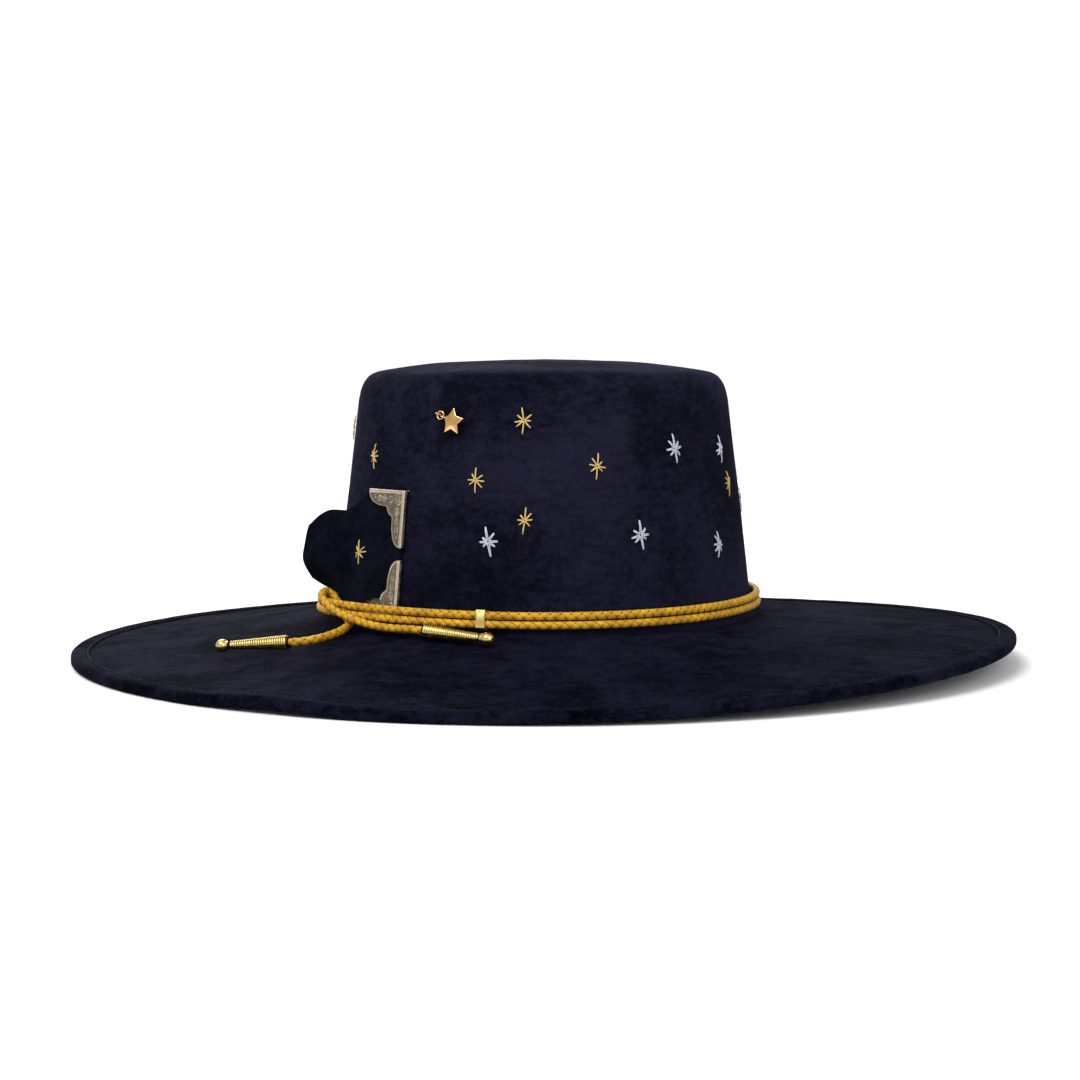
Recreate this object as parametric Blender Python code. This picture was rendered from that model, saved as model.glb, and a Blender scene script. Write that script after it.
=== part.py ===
"""A wide-brimmed, flat-crowned felted-suede hat with a corded band, a velvet side flap and a star charm.

The hat stands on its brim edge. The front faces -Y, +X is on the viewer's right and +Z is up.
Directions round the hat are azimuths: 0 is the front, 90 is +X, 180 is the back and -90 is -X.
"""
import math

import bmesh
import bpy
from mathutils import Vector

MM = 0.001

# Overall sizes
CROWN_HALF_WIDTH = 88.9 * MM     # outside of the crown wall at its foot, side to side
OVAL = 19.0 * MM                 # how much longer each half is front to back (the head's oval)
BRIM_HALF_WIDTH = 199.0 * MM     # outside of the brim edge, side to side
BRIM_OVAL = 10.0 * MM            # how much longer the brim's edge is front to back, each way
CROWN_HEIGHT = 106.4 * MM        # from the brim's top at the crown to the middle of the crown's top
CROWN_TAPER = 0.1165             # how far the wall leans in for each unit of height
SHOULDER_DROP = 17.0 * MM        # from the crown's top down to where the wall starts to turn
DOME_RISE = 4.4 * MM             # how far the crown's top swells above its rim
FOOT_FLARE = 3.0 * MM            # radius of the flare where the wall meets the brim
BASE_HEIGHT = 19.2 * MM          # brim's top surface at the crown, above the ground
STEPS = 48                       # facets round the hat
GAP = 0.3 * MM                   # clearance between pieces that touch
SHARP_ANGLE = math.radians(35.0)

# Wall build-up of the crown
SUEDE = 1.2 * MM
STIFFENER = 1.8 * MM
LINING = 0.5 * MM
SWEATBAND = 1.0 * MM
SWEATBAND_HEIGHT = 33.0 * MM
SWEATBAND_DROP = 1.7 * MM        # how far it hangs below the brim
SWEATBAND_TURN = 1.5 * MM        # above the brim's top it leans with the wall
REED_RADIUS = 0.8 * MM
LINING_RISE = 0.8 * MM           # the lining's lower edge above the brim's top
LINING_SEAM = 3.0 * MM           # the lining's upper edge below the shoulder
BOW_HALF_LENGTH = 9.0 * MM
BOW_HALF_HEIGHT = 3.8 * MM
BOW_THICKNESS = 1.0 * MM
BOW_RISE = 9.0 * MM              # its middle above the brim's top
BOW_OFF = 0.6 * MM               # clearance from the sweatband, which bends under it
OPENING_CLEARANCE = 0.1 * MM

# Brim
BRIM_SKIN = 0.9 * MM
BRIM_CORE = 1.4 * MM
HEM_WIDTH = 8.0 * MM
HEM_THICKNESS = 5.0 * MM
HEM_WALL = 2.2 * MM
HEM_LEVEL = 1.0 * MM             # level run of the brim just inside the hem
WIRE_RADIUS = 0.7 * MM
BRIM_CURVE = 1.25                # 1 is a straight cone; more gives a dished brim
RIGHT_LIFT = 8.0 * MM            # the edge rises on the right
LEFT_LIFT = 1.7 * MM             # and a little at the front left

# Cord band
CORD_RADIUS = 1.6 * MM
CORD_JOINT = 0.9 * MM            # between the ends of two stretches, which meet at a slight angle
KEEPER_AZIMUTH = -15.1
KEEPER_WIDTH = 3.6 * MM
KEEPER_WALL = 0.45 * MM
KEEPER_CLEARANCE = 0.35 * MM     # between the keeper and the cords inside it
KEEPER_OFF_WALL = 0.4 * MM       # between the keeper and the crown wall
KEEPER_CUT = 0.9 * MM            # size of its bevelled corners
BAND_OUT = CORD_RADIUS + KEEPER_CLEARANCE + KEEPER_WALL + KEEPER_OFF_WALL   # cord centre from the wall
LOWER_TURN = FOOT_FLARE + CORD_RADIUS                                       # and above the brim's top
TURN_PITCH = 2 * CORD_RADIUS + GAP                                          # lower cord to upper cord
TIP_LENGTH = 32.0 * MM
TIP_WIDE_RADIUS = 3.0 * MM
TIP_NARROW_RADIUS = 1.7 * MM
TIP_BALL_RADIUS = 2.6 * MM

# Velvet flap and its metal corners
FLAP_AZIMUTH = -40.4
FLAP_FOOT = 4.8 * MM             # its lower edge above the brim's top
FLAP_HEIGHT = 49.5 * MM
FLAP_HEADING = math.radians(49.0)
FLAP_REACH = 64.0 * MM
FLAP_THICKNESS = 1.5 * MM
FLAP_FOLD_RADIUS = 3.4 * MM
FLAP_RETURN = 9.0 * MM
FLAP_OFF_WALL = 1.3 * MM
FLAP_PULL = 4.0 * MM             # how far the band draws the flap's lower left part to the wall
FLAP_DIP = 9.3 * MM              # how far its top edge dips towards the fold
FLAP_NARROWING = 10.0 * MM       # how much shorter it is along its top and bottom edges
FLAP_BOTTOM = BASE_HEIGHT + FLAP_FOOT
FLAP_TOP = FLAP_BOTTOM + FLAP_HEIGHT
FRONT_SHARE = 0.7                # shares of the cloth: the flat front ends here
FOLD_SHARE = 0.88                # and the fold ends here
FOLD_TURN = math.radians(200.0)
CORNER_LEG = 22.0 * MM
CORNER_WIDTH = 6.4 * MM
CORNER_PLATE = 0.5 * MM
FLAP_STAR_ALONG = 25.6 * MM      # the star on the flap, from its right edge
FLAP_STAR_HEIGHT = 24.0 * MM     # and above its lower edge

# Embroidered stars
THREAD = 0.7 * MM
STAR_TALL = 5.4 * MM
STAR_WIDE = 4.0 * MM
STAR_NOTCH = 0.9 * MM

# Charm
CHARM_AZIMUTH = -29.7
CHARM_DROP = 22.2 * MM           # the ring's middle below the crown's top
CHARM_HEIGHT = BASE_HEIGHT + CROWN_HEIGHT - CHARM_DROP
CHARM_RADIUS = 5.6 * MM
CHARM_HALF_THICKNESS = 1.2 * MM
CHARM_LUG_ARM = 0.74             # the arm that carries the lug is cut short by this share
CHARM_TILT = math.radians(-22.0)
CHARM_OFF_WALL = 1.8 * MM
RING_RADIUS = 1.55 * MM
RING_WIRE = 0.3 * MM
LUG_RADIUS = 0.95 * MM
LUG_WIRE = 0.3 * MM
CHARM_EDGE = 0.35 * MM           # half the charm's thickness at its rim
CHARM_WAIST = 0.52               # share of its radius between two arms
LUG_SINK = 0.1 * MM              # how far the lug is sunk into the arm
LOOP_RADIUS = 0.25 * MM          # the thread that holds the ring

STARS = [
    # name, azimuth, share of the wall's height, thread
    ("gold_front_high", -5.5, 0.924, "gold"), ("gold_left_high", -57.0, 0.749, "gold"),
    ("gold_front_left", -18.7, 0.666, "gold"), ("gold_front_right", 14.6, 0.727, "gold"),
    ("silver_right_high", 39.5, 0.796, "silver"), ("silver_far_right_high", 62.2, 0.783, "silver"),
    ("gold_far_right", 65.9, 0.620, "gold"), ("silver_side_right", 84.0, 0.529, "silver"),
    ("gold_front_low", -5.0, 0.496, "gold"), ("silver_front_low", -14.6, 0.403, "silver"),
    ("silver_right_low", 26.3, 0.425, "silver"), ("silver_far_right_low", 55.5, 0.355, "silver"),
    ("gold_side_right", 98.0, 0.792, "gold"), ("silver_back_right", 118.0, 0.635, "silver"),
    ("gold_back_right", 137.0, 0.848, "gold"), ("gold_back_low", 152.0, 0.434, "gold"),
    ("silver_back", 171.0, 0.702, "silver"), ("gold_back_left", -165.0, 0.870, "gold"),
    ("silver_back_left", -147.0, 0.523, "silver"), ("gold_side_left", -124.0, 0.770, "gold"),
    ("silver_side_left", -103.0, 0.591, "silver"), ("gold_left_back_high", -84.0, 0.870, "gold"),
]

# The tied cord's route from the left tip to the right one, in millimetres (world places, chosen by hand).
# It lies on the brim, passes under the band, up behind it, over its top and down across its front.
CORD_ROUTE = [
    (-98.8, -94.6, 15.5), (-95.1, -95.9, 15.85), (-90.0, -94.3, 16.5), (-84.8, -88.9, 17.3),
    (-80.4, -81.8, 18.4), (-77.8, -73.8, 19.65), (-77.6, -69.6, 20.1), (-78.2, -65.4, 20.4),
    (-80.4, -59.8, 22.8), (-83.1, -54.4, 26.2), (-85.8, -49.9, 29.6), (-88.7, -50.6, 31.3),
    (-89.8, -56.7, 30.6), (-88.2, -62.1, 28.3), (-84.2, -67.9, 25.6), (-78.7, -74.4, 23.6),
    (-71.7, -81.1, 21.8), (-64.7, -87.7, 20.9), (-57.7, -94.7, 20.9), (-51.2, -101.1, 21.35),
    (-46.4, -104.2, 21.1),
]
UNDER_BAND = 6      # where the left end goes under the band
OVER_BAND = 9       # where the knot nears the band's top
CURVE_SAMPLES = 24  # steps between two route points


# ---------------------------------------------------------------- materials and objects

def finish(name, colour, roughness, metallic=0.0):
    """One Principled material with the piece's colour."""
    material = bpy.data.materials.get(name) or bpy.data.materials.new(name)
    material.use_nodes = True
    shader = material.node_tree.nodes["Principled BSDF"]
    shader.inputs["Base Color"].default_value = (*colour, 1.0)
    shader.inputs["Roughness"].default_value = roughness
    shader.inputs["Metallic"].default_value = metallic
    material.diffuse_color = (*colour, 1.0)
    return material


def navy_suede():
    return finish("navy_suede", (0.012, 0.012, 0.024), 0.95)


def felt_core():
    return finish("felt_core", (0.03, 0.03, 0.035), 0.9)


def gold_cord():
    return finish("gold_cord", (0.55, 0.27, 0.03), 0.5)


def brass():
    return finish("brass", (0.70, 0.50, 0.20), 0.25, 1.0)


def add_object(name, mesh, material, origin=(0.0, 0.0, 0.0)):
    """Put a mesh with world coordinates into the scene, with its origin at the given point."""
    mesh.materials.append(material)
    mesh.shade_smooth()
    mesh.set_sharp_from_angle(angle=SHARP_ANGLE)
    shift = Vector(origin)
    for vertex in mesh.vertices:
        vertex.co -= shift
    piece = bpy.data.objects.new(name, mesh)
    piece.location = shift
    bpy.context.scene.collection.objects.link(piece)
    return piece


def mesh_from(bm, name):
    """Turn a bmesh into a mesh whose faces point out."""
    bmesh.ops.recalc_face_normals(bm, faces=bm.faces)
    mesh = bpy.data.meshes.new(name)
    bm.to_mesh(mesh)
    bm.free()
    return mesh


# ---------------------------------------------------------------- the hat's shape

def smooth_bump(distance, reach):
    """1 in the middle, falling smoothly to 0 at the given reach."""
    if abs(distance) >= reach:
        return 0.0
    return math.cos(distance / reach * math.pi / 2) ** 2


def azimuths():
    return [360.0 * i / STEPS for i in range(STEPS)]


def turn_to(azimuth, half_x, half_y):
    """The point of an oval at an azimuth, in plan."""
    angle = math.radians(azimuth)
    return half_x * math.sin(angle), -half_y * math.cos(angle)


def half_width(z, out=0.0):
    """Half the crown's width at a height, plus a distance outwards."""
    return CROWN_HALF_WIDTH - CROWN_TAPER * (z - BASE_HEIGHT) + out


def on_crown(azimuth, z, out=0.0):
    """A point beside the crown wall: out is its distance from the wall's outer surface."""
    half = half_width(z, out)
    x, y = turn_to(azimuth, half, half + OVAL)
    return Vector((x, y, z))


def crown_frame(azimuth, z):
    """The wall's tangent (towards +azimuth), upward and outward directions at a point."""
    step = 0.01
    tangent = (on_crown(azimuth + step, z) - on_crown(azimuth - step, z)).normalized()
    upward = (on_crown(azimuth, z + step * MM) - on_crown(azimuth, z)).normalized()
    outward = tangent.cross(upward).normalized()
    return tangent, upward, outward


def wrap(azimuth, z, across, up, out):
    """A point on the wall, reached by going across and up from a place on it."""
    step = 0.01
    rate = (on_crown(azimuth + step, z) - on_crown(azimuth, z)).length / step
    return on_crown(azimuth + across / rate, z + up, out)


def edge_lift(azimuth):
    """How far the brim's edge waves above the ground."""
    turn = (azimuth + 180.0) % 360.0 - 180.0
    return RIGHT_LIFT * smooth_bump(turn - 78.0, 95.0) + LEFT_LIFT * smooth_bump(turn + 30.0, 12.0)


def brim_opening():
    """Half width of the brim's opening, just outside the sweatband."""
    return CROWN_HALF_WIDTH - SUEDE - STIFFENER - LINING + OPENING_CLEARANCE


def brim_span():
    return BRIM_HALF_WIDTH - brim_opening()


def brim_middle(azimuth, t):
    """The brim's middle surface: t is 0 at the opening and 1 at the edge."""
    half_x = brim_opening() + brim_span() * t
    flat_from = hem_share()
    x, y = turn_to(azimuth, half_x, half_x + OVAL + (BRIM_OVAL - OVAL) * min(t / flat_from, 1.0))
    edge = HEM_THICKNESS / 2 + edge_lift(azimuth)
    level = crown_share()
    slope = (1.0 - min(max(t - level, 0.0) / (flat_from - level), 1.0)) ** BRIM_CURVE
    return Vector((x, y, edge + (BASE_HEIGHT - brim_stack() / 2 - edge) * slope))


def crown_share():
    """How far across the brim its level ring under the crown's foot reaches."""
    return (CROWN_HALF_WIDTH - brim_opening()) / brim_span()


def hem_share():
    """How far across the brim it has come down to the hem, and runs level into it."""
    return 1.0 - (HEM_WIDTH + HEM_LEVEL) / brim_span()


def brim_stack():
    """The thickness of the brim's three layers and the gaps between them."""
    return 2 * BRIM_SKIN + BRIM_CORE + 2 * GAP


def ring_mesh(name, section, steps=STEPS):
    """A closed ring: section(azimuth) gives the corners of its closed cross-section."""
    bm = bmesh.new()
    rings = [[bm.verts.new(p) for p in section(360.0 * i / steps)] for i in range(steps)]
    for i, ring in enumerate(rings):
        after = rings[(i + 1) % steps]
        for j in range(len(ring)):
            k = (j + 1) % len(ring)
            bm.faces.new((ring[j], after[j], after[k], ring[k]))
    return mesh_from(bm, name)


def shell_mesh(name, outer, inner):
    """A cup from two profiles of (half width, height), each running from the foot to the middle."""
    bm = bmesh.new()

    def ring_of(half, z):
        oval = OVAL * min(1.0, half / shoulder_half())
        return [bm.verts.new((*turn_to(a, half, half + oval), z)) for a in azimuths()]

    walls = []
    for profile in (outer, inner):
        rings = [ring_of(half, z) for half, z in profile[:-1]]
        pole = bm.verts.new((0.0, 0.0, profile[-1][1]))
        for low, high in zip(rings, rings[1:]):
            for i in range(STEPS):
                k = (i + 1) % STEPS
                bm.faces.new((low[i], low[k], high[k], high[i]))
        for i in range(STEPS):
            bm.faces.new((rings[-1][i], rings[-1][(i + 1) % STEPS], pole))
        walls.append(rings[0])
    for i in range(STEPS):
        k = (i + 1) % STEPS
        bm.faces.new((walls[0][i], walls[1][i], walls[1][k], walls[0][k]))
    return mesh_from(bm, name)


def shoulder_half():
    """Half width of the crown's top plate, inside the rounded shoulder."""
    return half_width(BASE_HEIGHT + CROWN_HEIGHT - SHOULDER_DROP) - 6.0 * MM


def crown_profile(depth):
    """The crown's outline from wall to middle, a given depth inside its outer surface."""
    top = BASE_HEIGHT + CROWN_HEIGHT
    turn = top - SHOULDER_DROP
    wall = half_width(turn)
    rim = top - DOME_RISE
    points = [
        (wall, turn), (wall - 1.1 * MM, turn + 4.6 * MM), (wall - 2.9 * MM, turn + 8.2 * MM),
        (wall - 6.0 * MM, rim - 1.6 * MM), (wall - 13.0 * MM, rim + 0.2 * MM),
        (wall - 34.0 * MM, rim + 0.65 * DOME_RISE), (0.0, top),
    ]
    inset = []
    for i, (half, z) in enumerate(points[:-1]):
        before = points[i - 1] if i else (half_width(turn - 10 * MM), turn - 10 * MM)
        after = points[i + 1]
        along = Vector((after[0] - before[0], after[1] - before[1])).normalized()
        inset.append((half - along.y * depth, z + along.x * depth))
    return inset + [(0.0, top - depth)]


def wall_half(z, depth):
    return half_width(z, -depth)


# ---------------------------------------------------------------- crown

def crown_suede():
    """The outer skin, with a small flare at its foot that lies on the brim."""
    foot = []
    for degrees in (66.0, 38.0, 0.0):
        angle = math.radians(degrees)
        z = BASE_HEIGHT + FOOT_FLARE * (1 - math.sin(angle))
        foot.append((half_width(z, FOOT_FLARE * (1 - math.cos(angle))), z))
    floor = BASE_HEIGHT + GAP
    outer = [(foot[0][0], floor)] + foot + crown_profile(0.0)
    inner = [(wall_half(floor, SUEDE), floor)] + crown_profile(SUEDE)
    add_object("crown_suede", shell_mesh("crown_suede", outer, inner), navy_suede())


def crown_stiffener():
    """The moulded body inside the suede, which keeps the crown's shape."""
    floor = BASE_HEIGHT + GAP
    outside = SUEDE + GAP
    inside = outside + STIFFENER
    outer = [(wall_half(floor, outside), floor)] + crown_profile(outside)
    inner = [(wall_half(floor, inside), floor)] + crown_profile(inside)
    add_object("crown_stiffener", shell_mesh("crown_stiffener", outer, inner), felt_core())


def lining_depth():
    return SUEDE + GAP + STIFFENER + GAP


def lining_side():
    """The satin wall of the lining, from the brim to the shoulder."""
    low = BASE_HEIGHT + LINING_RISE
    high = BASE_HEIGHT + CROWN_HEIGHT - SHOULDER_DROP - LINING_SEAM

    def section(azimuth):
        outside = lining_depth()
        inside = outside + LINING
        return [on_crown(azimuth, z, -d) for z, d in
                ((low, outside), (high, outside), (high, inside), (low, inside))]

    material = finish("satin_lining", (0.02, 0.02, 0.03), 0.35)
    add_object("lining_side", ring_mesh("lining_side", section), material)


def lining_tip():
    """The satin disc inside the crown's top."""
    outer = crown_profile(lining_depth())[1:]
    inner = crown_profile(lining_depth() + LINING)[1:]
    material = finish("satin_lining", (0.02, 0.02, 0.03), 0.35)
    add_object("lining_tip", shell_mesh("lining_tip", outer, inner), material)


def sweatband_depth():
    return lining_depth() + LINING + GAP


def sweatband_bottom():
    return BASE_HEIGHT - brim_stack() - SWEATBAND_DROP


def sweatband():
    """The leather band that grips the head; below the brim's top it hangs straight down."""
    low = sweatband_bottom()
    high = low + SWEATBAND_HEIGHT

    def section(azimuth):
        points = []
        for z, depth in ((low, 0.0), (BASE_HEIGHT + SWEATBAND_TURN, 0.0), (high, 0.0),
                         (high, SWEATBAND), (BASE_HEIGHT + SWEATBAND_TURN, SWEATBAND), (low, SWEATBAND)):
            half = half_width(max(z, BASE_HEIGHT + SWEATBAND_TURN), -sweatband_depth() - depth)
            x, y = turn_to(azimuth, half, half + OVAL)
            points.append(Vector((x, y, z)))
        return points

    material = finish("sweatband_leather", (0.02, 0.018, 0.018), 0.6)
    add_object("sweatband", ring_mesh("sweatband", section), material)


def sweatband_reed():
    """The plastic reed along the sweatband's lower edge."""
    half = half_width(BASE_HEIGHT + SWEATBAND_TURN, -sweatband_depth() - SWEATBAND / 2)
    middle = sweatband_bottom() - GAP - REED_RADIUS

    def section(azimuth):
        return ring_corners(azimuth, half, half + OVAL, middle, REED_RADIUS, 6)

    material = finish("reed_plastic", (0.05, 0.05, 0.06), 0.4)
    add_object("sweatband_reed", ring_mesh("sweatband_reed", section), material)


def ring_corners(azimuth, half_x, half_y, z, radius, sides):
    """The corners of a round wire's section on an oval ring."""
    points = []
    for i in range(sides):
        angle = 2 * math.pi * i / sides
        out = radius * math.cos(angle)
        x, y = turn_to(azimuth, half_x + out, half_y + out)
        points.append(Vector((x, y, z + radius * math.sin(angle))))
    return points


def sweatband_bow():
    """The small ribbon bow over the sweatband's seam, at the back."""
    outline = [(-1.0, 1.0), (-0.25, 0.35), (0.25, 0.35), (1.0, 1.0), (1.0, -1.0), (0.25, -0.35),
               (-0.25, -0.35), (-1.0, -1.0)]
    near = sweatband_depth() + SWEATBAND + BOW_OFF
    bm = bmesh.new()
    layers = []
    for depth in (near, near + BOW_THICKNESS):
        layers.append([bm.verts.new(wrap(180.0, BASE_HEIGHT + BOW_RISE, x * BOW_HALF_LENGTH,
                                         y * BOW_HALF_HEIGHT, -depth)) for x, y in outline])
    count = len(outline)
    for i in range(count):
        k = (i + 1) % count
        bm.faces.new((layers[0][i], layers[0][k], layers[1][k], layers[1][i]))
    for layer in layers:
        for quad in ((0, 1, 6, 7), (1, 2, 5, 6), (2, 3, 4, 5)):
            bm.faces.new([layer[i] for i in quad])
    material = finish("bow_ribbon", (0.02, 0.02, 0.05), 0.4)
    add_object("sweatband_bow", mesh_from(bm, "sweatband_bow"), material)


# ---------------------------------------------------------------- brim

def brim_layer(name, low, high, end, material):
    """A layer of the brim: low and high are heights from its middle, end is its distance from the edge."""
    last = 1.0 - end / brim_span()
    shares = (0.0, 0.42, 1.0)
    slope_end = min(hem_share(), last)
    start = crown_share()
    stations = [0.0] + [start + (slope_end - start) * share for share in shares]
    if last > slope_end:
        stations.append(last)

    def section(azimuth):
        top = [brim_middle(azimuth, t) + Vector((0, 0, high)) for t in stations]
        bottom = [brim_middle(azimuth, t) + Vector((0, 0, low)) for t in reversed(stations)]
        return top + bottom

    add_object(name, ring_mesh(name, section), material)


def brim():
    """Two suede layers, a stiff layer between them, the turned hem and the wire inside it."""
    core = BRIM_CORE / 2
    skin = core + GAP
    hem_gap = HEM_WIDTH + GAP
    brim_layer("brim_suede_upper", skin, skin + BRIM_SKIN, hem_gap, navy_suede())
    brim_layer("brim_suede_lower", -skin - BRIM_SKIN, -skin, hem_gap, navy_suede())
    brim_layer("brim_stiffener", -core, core, HEM_WALL + 2 * (WIRE_RADIUS + GAP), felt_core())
    slot = core + GAP
    half = HEM_THICKNESS / 2

    def hem_section(azimuth):
        edge = brim_middle(azimuth, 1.0).z
        corners = [(HEM_WIDTH, 0.78 * half), (HEM_WIDTH - 1.6 * MM, half), (1.8 * MM, half),
                   (0.5 * MM, 0.62 * half), (0.0, 0.0), (0.5 * MM, -0.62 * half), (1.8 * MM, -half),
                   (HEM_WIDTH - 1.6 * MM, -half), (HEM_WIDTH, -0.78 * half), (HEM_WIDTH, -slot),
                   (HEM_WALL, -slot), (HEM_WALL, slot), (HEM_WIDTH, slot)]
        points = []
        for inward, up in corners:
            reach = BRIM_HALF_WIDTH - inward
            x, y = turn_to(azimuth, reach, reach + BRIM_OVAL)
            points.append(Vector((x, y, edge + up)))
        return points

    add_object("brim_edge_hem", ring_mesh("brim_edge_hem", hem_section), navy_suede())
    wire = BRIM_HALF_WIDTH - HEM_WALL - GAP - WIRE_RADIUS

    def wire_section(azimuth):
        return ring_corners(azimuth, wire, wire + BRIM_OVAL, brim_middle(azimuth, 1.0).z, WIRE_RADIUS, 6)

    steel = finish("spring_wire", (0.5, 0.5, 0.5), 0.3, 1.0)
    add_object("brim_edge_wire", ring_mesh("brim_edge_wire", wire_section), steel)


# ---------------------------------------------------------------- flap and its corners

def flap_start(z):
    """Where the flap leaves the wall, at a height."""
    return on_crown(FLAP_AZIMUTH, z, FLAP_OFF_WALL)


def flap_reach(z):
    """How far the flap runs before it folds back: least at its top and bottom."""
    middle = FLAP_BOTTOM + 0.42 * FLAP_HEIGHT
    away = min(1.0, abs(z - middle) / (0.44 * FLAP_HEIGHT))
    return FLAP_REACH - FLAP_NARROWING * away ** (1.3 if z < middle else 2.2)


def flap_place(share, z, side=0.0):
    """A point of the flap: share runs from its right edge round the fold to the wall behind it.

    side moves the point off the middle of the cloth, to its outer face when positive.
    """
    start = flap_start(z)
    along = Vector((-math.cos(FLAP_HEADING), math.sin(FLAP_HEADING), 0.0))
    outward = Vector((-math.sin(FLAP_HEADING), -math.cos(FLAP_HEADING), 0.0))
    reach = flap_reach(z)
    radius = FLAP_FOLD_RADIUS
    start -= outward * flap_pull(reach * share / FRONT_SHARE, z)
    if share <= FRONT_SHARE:
        return start + along * (reach * share / FRONT_SHARE) + outward * side
    corner = start + along * reach - outward * radius
    angle = FOLD_TURN * min(1.0, (share - FRONT_SHARE) / (FOLD_SHARE - FRONT_SHARE))
    ray = outward * math.cos(angle) + along * math.sin(angle)
    place = corner + ray * (radius + side)
    if share > FOLD_SHARE:
        back = along * math.cos(FOLD_TURN) - outward * math.sin(FOLD_TURN)
        place += back * (FLAP_RETURN * (share - FOLD_SHARE) / (1.0 - FOLD_SHARE))
    return place


def soften(value):
    """A smooth step from 0 to 1."""
    value = min(1.0, max(0.0, value))
    return value * value * (3.0 - 2.0 * value)


def flap_pull(distance, z):
    """How far the band's knot presses the flap's lower left part towards the wall."""
    below = soften((FLAP_BOTTOM + 20.0 * MM - z) / (12.0 * MM))
    return FLAP_PULL * soften((distance - CORNER_LEG) / (18.0 * MM)) * below


def flap_bottom(share):
    """The flap's lower edge, which rises over the band towards the fold."""
    tail = max(0.0, share - 0.55) / 0.15
    return FLAP_BOTTOM + 7.0 * MM * soften((share - 0.47) / 0.09) + 3.0 * MM * min(tail, 1.0) ** 2


def flap_top(share):
    """The flap's upper edge, which dips towards the fold."""
    distance = FLAP_REACH * share / FRONT_SHARE
    fold = min(1.0, max(0.0, share - 0.58) / 0.12)
    dip = soften((distance - CORNER_LEG - 0.5 * MM) / (22.0 * MM))
    round_off = 3.0 * MM * soften((share - 0.67) / 0.13)
    return FLAP_TOP - FLAP_DIP * dip - 4.5 * MM * fold ** 2 - round_off


def velvet_flap():
    """A folded velvet panel: flat in front, rolled back at its left end."""
    shares = [0.0, 0.11, 0.22, 0.33, 0.41, 0.48, 0.55, 0.63, 0.70, 0.745, 0.79, 0.835, 0.88, 1.0]
    rows = 6
    half = FLAP_THICKNESS / 2
    bm = bmesh.new()
    faces = []
    for side in (half, -half):
        grid = []
        for share in shares:
            low = flap_bottom(share)
            high = flap_top(share)
            grid.append([bm.verts.new(flap_place(share, low + (high - low) * j / rows, side))
                         for j in range(rows + 1)])
        for i in range(len(shares) - 1):
            for j in range(rows):
                bm.faces.new((grid[i][j], grid[i + 1][j], grid[i + 1][j + 1], grid[i][j + 1]))
        faces.append(grid)
    outer, inner = faces
    last = len(shares) - 1
    for i in range(last):
        for j in (0, rows):
            bm.faces.new((outer[i][j], outer[i + 1][j], inner[i + 1][j], inner[i][j]))
    for j in range(rows):
        for i in (0, last):
            bm.faces.new((outer[i][j], outer[i][j + 1], inner[i][j + 1], inner[i][j]))
    material = finish("black_velvet", (0.004, 0.006, 0.010), 1.0)
    add_object("velvet_flap", mesh_from(bm, "velvet_flap"), material)


def corner_guard(name, corner_z, way):
    """An L-shaped plate on the flap's outer face; way is -1 where its leg runs down, +1 where it runs up."""
    leg = CORNER_LEG
    wide = CORNER_WIDTH
    # along the flap, and away from the corner in height: a scalloped inner edge between two tapered legs
    outline = [(0.0, 0.0), (leg, 0.0), (leg - 1.3 * MM, 3.2 * MM), (leg - 4.5 * MM, 5.4 * MM),
               (leg - 8.5 * MM, wide - 0.4 * MM), (wide + 3.4 * MM, wide), (wide + 2.4 * MM, wide + 2.6 * MM),
               (wide, wide + 3.4 * MM), (wide - 0.4 * MM, leg - 8.5 * MM), (5.4 * MM, leg - 4.5 * MM),
               (3.2 * MM, leg - 1.3 * MM), (0.0, leg)]
    near = FLAP_THICKNESS / 2 + GAP
    bm = bmesh.new()
    layers = []
    for side in (near, near + CORNER_PLATE):
        layer = []
        for along, away in outline:
            z = corner_z + way * away
            layer.append(bm.verts.new(flap_place(FRONT_SHARE * along / flap_reach(z), z, side)))
        layers.append(layer)
    count = len(outline)
    for i in range(count):
        k = (i + 1) % count
        bm.faces.new((layers[0][i], layers[0][k], layers[1][k], layers[1][i]))
    for layer in layers:
        face = bm.faces.new(layer)
        bmesh.ops.triangulate(bm, faces=[face])
    material = finish("antique_gold", (0.45, 0.38, 0.28), 0.35, 1.0)
    add_object(name, mesh_from(bm, name), material)


# ---------------------------------------------------------------- cord band

def band_bulge(azimuth):
    """How far the band is pushed off the wall by the flap and the knot under it."""
    turn = (azimuth + 180.0) % 360.0 - 180.0
    stations = [(-92.0, 0.0), (-84.0, 1.0), (-78.0, 3.0), (-72.0, 6.0), (-66.0, 8.3), (-62.0, 8.4),
                (-57.0, 7.2), (-52.0, 5.6), (-45.0, 3.6), (-39.0, 2.5), (-33.0, 1.4), (-25.0, 0.3),
                (-20.0, 0.0)]
    if turn <= stations[0][0] or turn >= stations[-1][0]:
        return 0.0
    for (a, low), (b, high) in zip(stations, stations[1:]):
        if a <= turn <= b:
            share = (turn - a) / (b - a)
            return (low + (high - low) * share) * MM
    return 0.0


def band_point(azimuth, turn):
    """The middle of the lower (0) or upper (1) cord of the band."""
    z = BASE_HEIGHT + LOWER_TURN + TURN_PITCH * turn
    return on_crown(azimuth, z, BAND_OUT + band_bulge(azimuth))


def band_cord(name, turn):
    def section(azimuth):
        middle = band_point(azimuth, turn)
        reach = half_width(middle.z, BAND_OUT + band_bulge(azimuth))
        return ring_corners(azimuth, reach, reach + OVAL, middle.z, CORD_RADIUS, 8)

    add_object(name, ring_mesh(name, section), gold_cord())


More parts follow.
